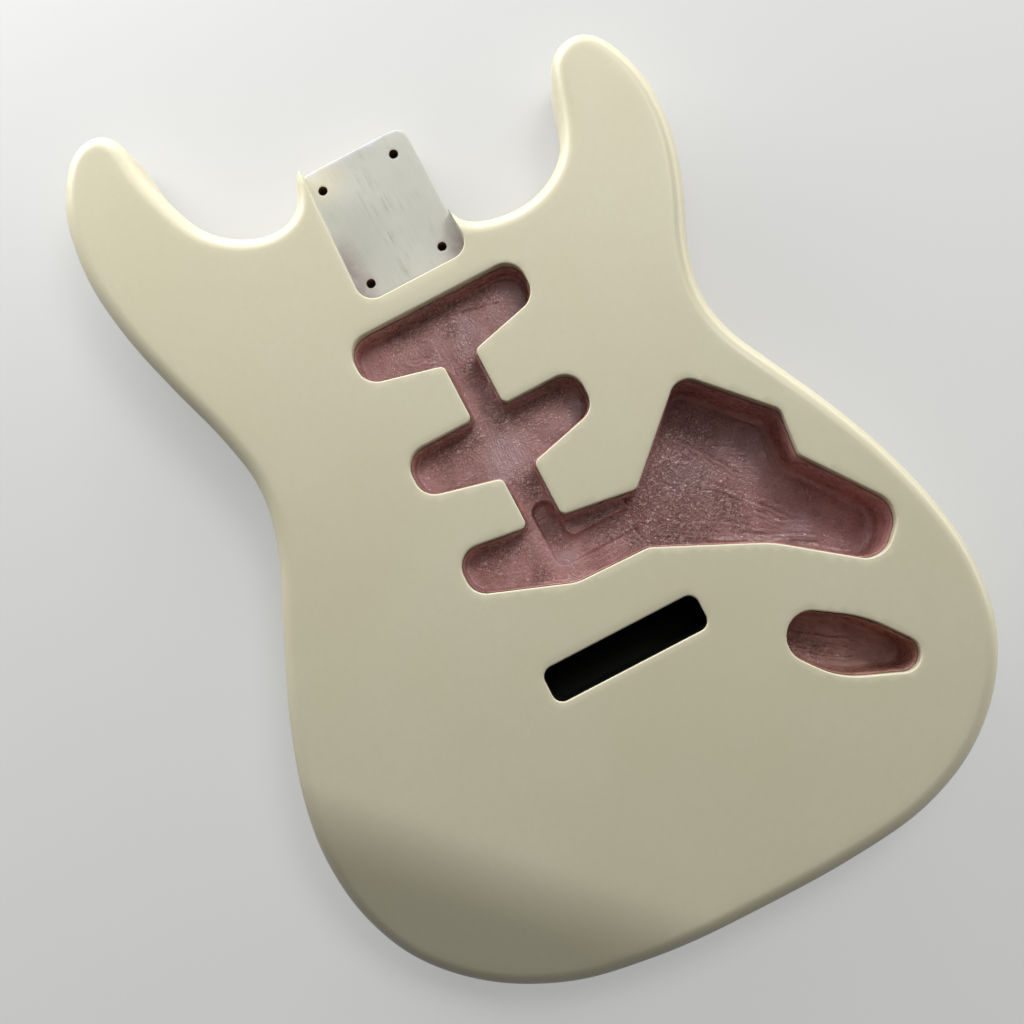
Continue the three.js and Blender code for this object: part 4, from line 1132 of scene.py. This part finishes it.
# %% Build a coat
COAT_INSET = 0.9  # the coat's face stands this far from the wood
COAT_BACK = 0.3
COAT_TOP = BODY_THICKNESS - 5.5  # the brush rarely reached higher up the walls
COAT_EDGE = 0.08  # thickness of the coat where it ends on the wall
WALL_ROWS = 19
FOOT_RINGS = np.array([0.15, 0.45, 0.9, 1.45, 2.1])  # rings of points along the foot of the walls
MARK_SHARE = 1.5  # the single marks stand out from the brushwork round them
RIDGE_CELL = 1.25  # cell of the noise behind the winding ridges
RIDGE_HEIGHT = 0.32
RIDGE_LEAN = math.radians(-38)
FLOOR_STROKE_AREA, DROP_AREA = 45, 130  # floor area in square millimetres for each one
WALL_STROKE_STEP = 1.6  # length of wall in millimetres for each stroke
FLOOR_STROKE = ((14, 40), (6, 15), 0.008, (0.012, 0.034))  # length, width, bend and depth
WALL_STROKE = ((14, 55), (2.5, 6.5), 0.002, (0.05, 0.1))
COMB_STROKE = ((4, 10), (4, 11), 0.02, (0.05, 0.1))
DEEPEST, HIGHEST = -0.5, 0.75  # limits of the relief
# the coat's painted shade and painted highlight follow the relief in this unit
PAINTED_LIGHT_UNIT = 0.3  # relief that counts as 1 in the paint's colour
FAR_BELOW = 9.0  # the floor counts as this far below the coat's top edge


def coat_skin(corners, level, fillet, spacing, seed, extra=None):
    """Skin of a coat that lines the walls and the floor inside a rim: a strip down the walls, a
    fillet of the given radius at their foot, and a sheet over the floor. The top edge wanders
    up and down, and thins out against the wall. Also gives each point's place along the rim and
    its distance from the wall's foot, negative up the wall."""
    loop = respace(rounded(corners, COAT_INSET), spacing)
    count = len(loop)
    length = np.hypot(*(np.roll(loop, -1, 0) - loop).T).sum()
    along = np.arange(count) / count * length
    turn = along / length * 2 * math.pi
    ring = np.column_stack((np.cos(turn), np.sin(turn), np.zeros(count))) * length / (2 * math.pi)
    wave = 1.6 * noise(ring / 24, seed + 20) + 0.8 * noise(ring / 6, seed + 21)
    top = COAT_TOP + wave + 0.25 * noise(ring / 1.7, seed + 22)
    foot = level(loop) + fillet(loop)
    share = np.linspace(0, 1, WALL_ROWS + 1)[:, None] ** 1.1
    height = top + (foot - top) * share
    thin = (COAT_INSET - COAT_BACK - COAT_EDGE) * np.exp(-((top - height) / 0.8))
    plan = loop - inward(loop) * thin[..., None]
    wall, quads = strip(np.concatenate((plan, height[..., None]), 2))

    grid = grid_points(loop.min(0), loop.max(0), spacing * 0.88)
    grid = away(grid[inside(grid, loop)], [(loop, True, FOOT_RINGS[-1] + spacing * 0.5)])
    if extra is not None:
        grid = np.concatenate((grid, away(extra, [(loop, True, spacing * 0.5)])))
    grid = np.concatenate((grid, rings(loop, inward(loop), FOOT_RINGS, [(loop, True, None)])))
    flat, triangles = loop_plan(loop, [], grid)
    gap, station = nearest(flat, loop)
    floor = lifted(flat, level(flat) + quarter(gap, fillet(flat)))

    points = np.concatenate((wall, floor))
    station = np.concatenate((np.tile(along, WALL_ROWS + 1), station))
    beyond = np.concatenate(((foot - height).ravel(), gap))
    below_top = np.concatenate(((top - height).ravel(), np.full(len(flat), FAR_BELOW)))
    halves = np.concatenate((quads[:, [0, 1, 2]], quads[:, [0, 2, 3]]))
    faces = np.concatenate((halves, triangles + len(wall)))
    _, first, index = np.unique(
        np.round(points * 1000).astype(np.int64), axis=0, return_index=True, return_inverse=True)
    values = [values[first] for values in (points, station, beyond, below_top)]
    return (*values, index.ravel()[faces], loop, top, length)


def upward_normals(points, faces):
    """Unit normals of the points: the sum of the cross products of their faces, turned so that
    the floors look up."""
    a, b, c = points[faces].transpose(1, 0, 2)
    face_normal = np.cross(b - a, c - a)
    summed = np.column_stack([
        np.bincount(faces.ravel(), np.repeat(face_normal[:, k], 3), len(points)) for k in range(3)
    ])
    unit = summed / np.maximum(np.linalg.norm(summed, axis=1), TINY)[:, None]
    return unit * np.sign(unit[:, 2].sum())


def winding_ridges(places, lean, seed):
    """Short winding ridges, 0 to 1 high, where gradient noise crosses zero. The noise is drawn
    out along the brush and bent by slower noise."""
    c, s = math.cos(lean), math.sin(lean)
    x, y = places[:, 0], places[:, 1]
    drawn = np.column_stack(((x * c + y * s) / 1.7, y * c - x * s, places[:, 2]))
    bend = noise(drawn / 5, seed + 8)[:, None] * (1.5, 2.0, 0)
    return 1 - np.minimum(1, 2.4 * np.abs(noise((drawn + bend) / RIDGE_CELL, seed + 7)))


def near_places(plan, places, share=1.0):
    """Sum of bell curves round listed centres, (x, y, radius), with radii times a share."""
    total = np.zeros(len(plan))
    for x, y, radius in places:
        total += np.exp(-(((plan - (x, y)) / (share * radius)) ** 2).sum(1))
    return total


def brushwork(points, station, beyond, length, reach, lean, hand_marks, dabs, seed):
    """Relief of the coat: shallow strokes over the floor that lean with the region, strokes
    along the wall and short ones up it, a bead at its foot, winding ridges where the brush was
    dabbed, and single marks. Also says how much each point was dabbed."""
    draw = np.random.default_rng(seed)
    plan = points[:, :2]
    floor = beyond > 0
    low, high = plan[floor].min(0), plan[floor].max(0)

    def spread(count):
        places = draw.uniform(low, high, (count, 2))
        closest = np.concatenate([
            ((plan[floor][::7][None] - part[:, None]) ** 2).sum(2).min(1)
            for part in np.array_split(places, max(1, count // 50))])
        return places[closest < 4]

    area = np.prod(high - low)
    drawn = spread(round(area / FLOOR_STROKE_AREA))
    floor_strokes = strokes_at(draw, drawn, lean(drawn), *FLOOR_STROKE)
    count = round(length / WALL_STROKE_STEP)
    wall_places = np.column_stack((draw.uniform(0, length, count), draw.uniform(-26, 9, count)))
    comb_places = wall_places[noise(np.column_stack((wall_places / 21, np.full(count, 3.0)))) > 0.1]
    wall_strokes = np.concatenate((
        strokes_at(draw, wall_places, 0, *WALL_STROKE),
        strokes_at(draw, comb_places, math.pi / 2, *COMB_STROKE),
    ))
    wall_strokes[:count, 2] *= 0.2
    draw.shuffle(wall_strokes)
    wrapped = [wall_strokes + np.eye(8)[0] * length * k for k in (-1, 0, 1)]
    wall_strokes = np.stack(wrapped, 1).reshape(-1, 8)

    by_wall = painted(station, beyond, wall_strokes)
    on_floor = painted(*plan.T, floor_strokes)
    angle = lean(plan)
    wander = 1.6 * noise(points / 17, seed + 9)
    along = plan[:, 0] * np.cos(angle) + plan[:, 1] * np.sin(angle)
    across = plan[:, 1] * np.cos(angle) - plan[:, 0] * np.sin(angle) + wander
    floor_mark = np.column_stack((along, across, np.zeros(len(points))))
    wall_mark = np.column_stack((station, beyond + wander, np.zeros(len(points))))
    dabbed = 0.14 + near_places(plan, dabs, 1.2)
    dabbed = np.clip(dabbed + 0.4 * noise(points / 5, seed + 4) * ease(dabbed), 0, 1)
    share = ease((beyond - 0.5) / reach(plan))
    height = share * on_floor + (1 - share) * by_wall
    mark = np.where(share[:, None] > 0.5, floor_mark, wall_mark)
    ridges = winding_ridges(points, RIDGE_LEAN, seed)
    height += RIDGE_HEIGHT * dabbed * (ridges - 0.3)
    height[floor] += MARK_SHARE * drawn_marks(plan[floor], hand_marks)
    for x, y in spread(round(area / DROP_AREA)):
        near = np.hypot(*(plan - (x, y)).T)
        height += np.where(floor, draw.uniform(0.1, 0.3) * np.exp(-((near / 0.5) ** 2)), 0)
    height += 0.14 * noise(points / 11, seed) + 0.05 * noise(points / 4.5, seed + 1)
    foot = 0.22 * reach(plan)
    uneven = 0.65 + 0.5 * noise(points / 4, seed + 3)
    height += 0.28 * uneven * np.exp(-(((beyond - foot) / 0.5) ** 2))
    return np.clip(height, DEEPEST, HIGHEST), mark, dabbed


print("coat builder ready")

# %% Shielding paint
def shielding_paint(name, light, dark):
    """Glossy conductive paint between two tones, with painted shade in its low places, painted
    highlights on its crests, painted sheen at listed places, bristle marks that follow each
    stroke and winding ridges where it was dabbed."""
    paint = Finish(name, 0.34, specular=0.9)
    in_stroke = paint.attribute("brush", "Vector")
    tone = paint.noise(11, detail=4)
    base = paint.mix(paint.span(tone, 0.35, 0.65), colour(*light), colour(*dark))
    streak = paint.noise(1.4, detail=2, place=in_stroke, stretch=(5, 1, 1))
    base = paint.mix(paint.span(streak, 0.4, 0.75, 0, 0.3), base, colour(196, 152, 146))
    # painted shade in the low places of the relief, and painted highlight on its high places
    relief_for_painted_light = paint.attribute("relief_for_painted_light", "Fac")
    base = paint.mix(paint.span(relief_for_painted_light, -0.1, -1.0, 0, 0.55), base, colour(104, 64, 58))
    base = paint.mix(paint.span(relief_for_painted_light, 0.2, 1.0, 0, 0.5), base, colour(206, 166, 160))
    # painted sheen: a pale lavender reflection laid over listed calm places of the floor
    painted_sheen = paint.times(paint.attribute("painted_sheen", "Fac"), 0.45)
    base = paint.mix(painted_sheen, base, colour(196, 168, 172))
    rough = paint.span(paint.noise(5, detail=3), 0.35, 0.7, 0.25, 0.4)
    paint.put(rough, paint.shader.inputs["Roughness"])
    dabbed = paint.attribute("dabbed", "Fac")
    worm = paint.noise(1.5, detail=1.5, stretch=(1.3, 1, 1), distortion=0.8)
    ridge = paint.span(
        paint.math("ABSOLUTE", paint.math("SUBTRACT", worm, 0.5)), 0.0, 0.14, 1, 0)
    # painted shade in the hollows between the winding ridges
    painted_hollow_shade = paint.times(paint.span(ridge, 0.35, 0.0, 0, 0.3), dabbed)
    base = paint.mix(painted_hollow_shade, base, colour(126, 82, 76))
    # painted glints on the crests of the winding ridges
    painted_crest_glint = paint.times(paint.span(ridge, 0.45, 1.0, 0, 0.6), dabbed)
    base = paint.mix(painted_crest_glint, base, colour(222, 184, 176))
    paint.base_colour(base)
    paint.bump(paint.times(ridge, dabbed), 0.45)
    paint.bump(paint.noise(0.9, detail=2, place=in_stroke, stretch=(14, 1, 2)), 0.13)
    return paint.material


def coat_piece(
        name, paint, corners, levels, fillet, spacing, seed, extra=None, sheen_places=(), **marks):
    """A closed coat: the brushed skin, a plain back, and a thin edge between them."""
    level, back_level = levels
    points, station, beyond, below_top, faces, loop, top, length = coat_skin(
        corners, level, fillet, spacing, seed, extra)
    height, mark, dabbed = brushwork(points, station, beyond, length, seed=seed, **marks)
    height *= ease(below_top / 1.5)
    moved = points + upward_normals(points, faces) * height[:, None]

    outer = exact(loop - inward(loop) * (COAT_INSET - COAT_BACK))
    edge = loop - inward(loop) * (COAT_INSET - COAT_BACK - COAT_EDGE)
    flat, triangles = sheet_plan(
        [(outer, True)],
        away(grid_points(outer.min(0), outer.max(0), 5.0), [(outer, True, 2.0)]), region(outer))
    patches = [
        (moved, faces, 0),
        (*strip(np.stack((lifted(edge, top), lifted(outer, top)))), 0),
        (*between(outer, back_level(outer), top, 3), 0),
        (lifted(flat, back_level(flat)), triangles, 0),
    ]
    piece = piece_from(
        name, patches, [paint], 60.0,
        # the relief that sets the painted shade and highlight, and the places of the painted sheen
        {"brush": mark * MM, "relief_for_painted_light": height / PAINTED_LIGHT_UNIT, "dabbed": dabbed,
         "painted_sheen": np.clip(near_places(points[:, :2], sheen_places), 0, 1)})
    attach(piece, "root")
    return piece


# %% Coat of the pickup routes and the control cavity
FACE_CLIFF = (COAT_INSET, -0.4, 1.0)  # inset of the cliffs, and where they start and end
BACK_CLIFF = (COAT_BACK, -0.3, 0.2)
ROUTE_SLANT, CHANNEL_SLANT, DEEP_SLANT = 4, 83, -52  # degrees from +X that the strokes run
ROUTE_FILLET, DEEPER_FILLET = 1.8, 2.6  # at the foot of the walls, and what the depth adds
ROUTE_REACH, DEEPER_REACH = 3.0, 6.0  # how far strokes along the wall reach over the floor
MAIN_STEP = 0.66  # spacing of the coat's points


def main_level(points):
    """Level of the coat's face over the joined floors."""
    return cavity_level(points, *FACE_CLIFF) + COAT_INSET


def main_back(points):
    """Level of the coat's back."""
    return cavity_level(points, *BACK_CLIFF) + COAT_BACK


def deep_share(points):
    """0 over the routes, 1 in the control cavity."""
    fall = ROUTE_LEVEL - cavity_level(points, *FACE_CLIFF)
    return np.clip(fall / (ROUTE_LEVEL - CONTROL_LEVEL), 0, 1)


def main_lean(places):
    """Angle of the strokes: across the routes, down the channel, slanting in the deep cavity."""
    x, y = places.T
    slant = np.radians(np.where((x > 40) & (y < -95), DEEP_SLANT, ROUTE_SLANT))
    return np.where((np.abs(x) < 9) & (y > -113), math.radians(CHANNEL_SLANT), slant)


MAIN_MARKS = [
    (0.42, 0.75, [(71.5, -116.9), (84.2, -133.4), (93.8, -150.2)]),
    (0.36, 0.7, [(63.5, -139.2), (82.1, -153.8), (96.5, -174.1)]),
    (0.36, 0.7, [(63.8, -158.9), (82.7, -170.8), (92.5, -179.7)]),
    (-0.3, 0.8, [(60, -136.5), (80.5, -151.5), (95, -171.5)]),
    (0.34, 0.6, [(82, -157.7), (81.7, -165.4), (86.6, -170.8)]),
    (0.4, 0.65, [(92.6, -163.2), (107.8, -181.9)]),
    (0.32, 0.6, [(98.4, -176), (111.6, -183.9)]),
    (0.4, 0.7, [(119.3, -137.1), (115.3, -153.6)]),
    (0.34, 0.7, [(63.5, -124.5), (57.1, -134.9)]),
    (-0.32, 0.6, [(41.5, -155.1), (78, -176.6), (113.9, -195.8)]),
    (0.3, 0.6, [(43, -152.6), (79, -174), (114, -193)]),
    (0.45, 0.7, [(34.6, -144.8), (36, -157.2)]),
    (-0.34, 0.6, [(9.1, -19.4), (20, -21.8), (29.9, -24.1)]),
    (0.3, 0.6, [(-25, -28.4), (-18, -31), (-10.7, -33.9)]),
    (0.26, 0.6, [(-24, -30.4), (-17, -33), (-9.7, -35.9)]),
    (0.3, 0.45, [(4.3, -44.5), (6.2, -42.6), (8.1, -44.5), (6.2, -46.4), (4.3, -44.5)]),
]
MAIN_MARKS += [
    (0.34, 0.55, [(48 + k, -164.5 + 1.9 * k), (72 + k, -178.5 + 1.9 * k), (104 + k, -198 + 2 * k)])
    for k in (-2.2, -0.6, 1.1)
]
MAIN_MARKS += [
    (0.45, 0.5, [(x, y), (x + 0.5, y + 0.2)]) for x, y in (
        (26.7, -21.1), (18.6, -20.9), (1.5, -20.9), (-12.2, -24.8), (6.4, -28), (6.2, -31.7))
]
MAIN_DABS = [
    (-22, -15, 5), (-13, -12, 6), (-3, -13, 6), (7, -13, 5), (23, -17, 4), (3, -26, 3),
    (3, -45, 3), (4, -54, 5), (4, -64, 5), (5, -71, 4), (-30, -76, 5), (-21, -76, 6),
    (-12, -76, 4), (24, -75, 4), (33, -75, 4), (14, -76, 4), (4, -78, 4), (0, -106, 5),
    (1, -114, 4), (-26, -127, 6), (-17, -128, 5), (-32, -131, 4), (3, -137, 4), (23, -140, 6),
    (21, -132, 5), (-13, -148, 3), (-1, -159, 3), (62, -128, 11), (78, -121, 9), (88, -120, 6),
    (47, -144, 11), (63, -147, 11), (77, -149, 8), (65, -163, 7), (83, -161, 6), (40, -150, 7),
    (51, -159, 7), (84, -171, 4), (36, -144, 5),
]
# places of the painted sheen on the calm floors, (x, y, radius)
MAIN_SHEEN_PLACES = [
    (1, -86, 9), (-3, -93, 8), (8, -28, 7), (-2, -146, 4), (3, -148, 4), (72, -137, 12),
    (108, -184, 7), (-8, -96, 6),
]
cliff = np.concatenate([
    cliff_points(COAT_INSET + inset, 0.55) for inset in (-0.4, -0.1, 0.2, 0.5, 0.75, 1.0)])
main_coat = coat_piece(
    "brushed_coat_pickups_controls",
    shielding_paint("shielding_paint", (186, 132, 129), (164, 110, 106)),
    main_corners, (main_level, main_back),
    fillet=lambda p: ROUTE_FILLET + DEEPER_FILLET * deep_share(p),
    reach=lambda p: ROUTE_REACH + DEEPER_REACH * deep_share(p),
    lean=main_lean, spacing=MAIN_STEP, seed=11, extra=cliff,
    sheen_places=MAIN_SHEEN_PLACES, hand_marks=MAIN_MARKS, dabs=MAIN_DABS)
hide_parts("shield_coat_pickups_controls")

# %% Coat of the output jack cavity
JACK_LEAN = math.radians(-30)
JACK_FILLET, JACK_REACH, JACK_STEP = 4.0, 11.0, 0.55
JACK_MARKS = [
    (0.4, 0.6, [(74, -228), (84, -236.5), (99, -246)]),
    (0.36, 0.55, [(77, -225.5), (90, -234), (104, -243)]),
    (0.4, 0.6, [(80, -238.5), (90, -246), (101, -252)]),
    (0.32, 0.5, [(82, -232), (93, -240.5), (103, -248.5)]),
    (0.34, 0.5, [(76, -232.5), (86, -241), (97, -249)]),
    (0.3, 0.5, [(80, -227), (92, -236), (106, -245.5)]),
]
jack_coat = coat_piece(
    "brushed_coat_jack",
    # a lighter and browner copy of the shielding paint; its extra lightness is painted light for the
    # deep, shaded jack cavity
    shielding_paint("shielding_paint_jack_painted_light", (198, 146, 134), (174, 122, 110)),
    jack_corners,
    (lambda p: np.full(len(p), JACK_LEVEL + COAT_INSET),
     lambda p: np.full(len(p), JACK_LEVEL + COAT_BACK)),
    fillet=lambda p: np.full(len(p), JACK_FILLET),
    reach=lambda p: np.full(len(p), JACK_REACH),
    lean=lambda p: np.full(len(p), JACK_LEAN), spacing=JACK_STEP, seed=37,
    hand_marks=JACK_MARKS, dabs=[(80, -232, 5), (88, -240, 4)])
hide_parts("shield_coat_jack")

# %% [markdown]
# ## Floor and light
#
# The body lies on a plain pale floor. In the photograph most of the light comes low over the
# neck end, which is why the forearm bevel, tilted away from it, goes so dark, and higher light
# from the right casts the shadows in the cavities. Four soft lamps stand in these directions. The
# floor is a middle grey to the lamps, so that it throws little light back, and has a faint glow of
# its own for the eye, so that it looks pale. Under the body, where only the slot shows it, the
# floor is painted dark, as dark as in the photograph: a painted shade seen through the slot.

# %% Floor
FLOOR_HALF = 20000.0
FLOOR_DROP = 0.2  # the floor lies this far under the body's flat back
FLOOR_GLOW = 0.36
# the floor under the slot is painted dark as painted shade, fading to pale between these
SLOT_PAINTED_SHADE, SLOT_PALE = 0.06, 0.08  # metres from the slot's middle between dark and pale floor
floor_mesh = bpy.data.meshes.new("floor")
corner = FLOOR_HALF * MM
floor_mesh.from_pydata(
    [(-corner, -corner, 0), (corner, -corner, 0), (corner, corner, 0), (-corner, corner, 0)],
    [], [(0, 1, 2, 3)])
floor = bpy.data.objects.new("floor", floor_mesh)
bpy.context.scene.collection.objects.link(floor)
floor.location.z = -FLOOR_DROP * MM
floor_finish = Finish("pale_floor", 0.8, specular=0.2)
rays = floor_finish.nodes.new("ShaderNodeLightPath").outputs
seen = floor_finish.math("MAXIMUM", rays["Is Camera Ray"], rays["Is Glossy Ray"])
seen = floor_finish.math("MAXIMUM", seen, rays["Is Transmission Ray"])
off_slot = []
for name, middle in (("X", slot_x), ("Y", slot_y)):
    beside = floor_finish.math("SUBTRACT", floor_finish.axis(name), middle * MM)
    off_slot.append(
        floor_finish.span(floor_finish.math("ABSOLUTE", beside), SLOT_PAINTED_SHADE, SLOT_PALE))
outside_slot_shade = floor_finish.math("MAXIMUM", *off_slot)
# painted shade: the floor is dark under the slot, and has no glow there
floor_colour = floor_finish.mix(outside_slot_shade, colour(30, 30, 26), colour(152, 152, 151))
floor_finish.base_colour(floor_colour)
glow = floor_finish.times(floor_finish.times(seen, outside_slot_shade), FLOOR_GLOW)
floor_finish.put(glow, floor_finish.shader.inputs["Emission Strength"])
floor_finish.shader.inputs["Emission Color"].default_value = (1, 1, 0.99, 1)
floor_mesh.materials.append(floor_finish.material)
print(f"floor: {2 * corner:.0f} m wide")

# %% Lamps
AIM = np.array([0.0, -0.1, 0.03])  # the lamps face this place, in metres
LAMPS = [  # name, degrees from +X and upwards, metres away, size in metres, watts
    ("low_over_the_neck", 98, 14, 0.85, (1.0, 0.35), 11.8),
    ("high_over_the_neck", 65, 70, 2.6, (1.4, 1.4), 9.0),
    ("high_at_the_right", 33, 55, 2.6, (0.8, 0.8), 23.0),
    ("low_at_the_right", 15, 9, 1.0, (1.6, 0.32), 8.8),
]


def studio_lamp(name, azimuth, elevation, distance, size, watts):
    """A rectangular soft lamp in a direction from the body, which it faces."""
    turn, rise = math.radians(azimuth), math.radians(elevation)
    towards = (math.cos(rise) * math.cos(turn), math.cos(rise) * math.sin(turn), math.sin(rise))
    place = AIM + distance * np.array(towards)
    data = bpy.data.lights.new(name, "AREA")
    data.shape = "RECTANGLE"
    data.size, data.size_y = size
    data.energy = watts
    made = bpy.data.objects.new(name, data)
    bpy.context.scene.collection.objects.link(made)
    back = place - AIM
    back /= np.linalg.norm(back)
    across = np.cross([0, 0, 1], back)
    across /= np.linalg.norm(across)
    facing = np.eye(4)
    facing[:3, 0], facing[:3, 1], facing[:3, 2] = across, np.cross(back, across), back
    facing[:3, 3] = place
    made.matrix_world = Matrix(facing.tolist())


for row in LAMPS:
    studio_lamp(*row)
SKY, SKY_SEEN = 0.05, 0.8  # what the sky gives the object, and how bright it looks behind it
world = bpy.data.worlds.new("sky")
bpy.context.scene.world = world
world.use_nodes = True
sky = world.node_tree.nodes["Background"].inputs
sky["Color"].default_value = (0.86, 0.88, 0.9, 1)
brighter = world.node_tree.nodes.new("ShaderNodeMapRange")
brighter.inputs["To Min"].default_value = SKY
brighter.inputs["To Max"].default_value = SKY_SEEN
rays = world.node_tree.nodes.new("ShaderNodeLightPath").outputs
world.node_tree.links.new(rays["Is Camera Ray"], brighter.inputs["Value"])
world.node_tree.links.new(brighter.outputs["Result"], sky["Strength"])
bpy.context.scene.view_settings.view_transform = "Standard"
print("stage and light ready")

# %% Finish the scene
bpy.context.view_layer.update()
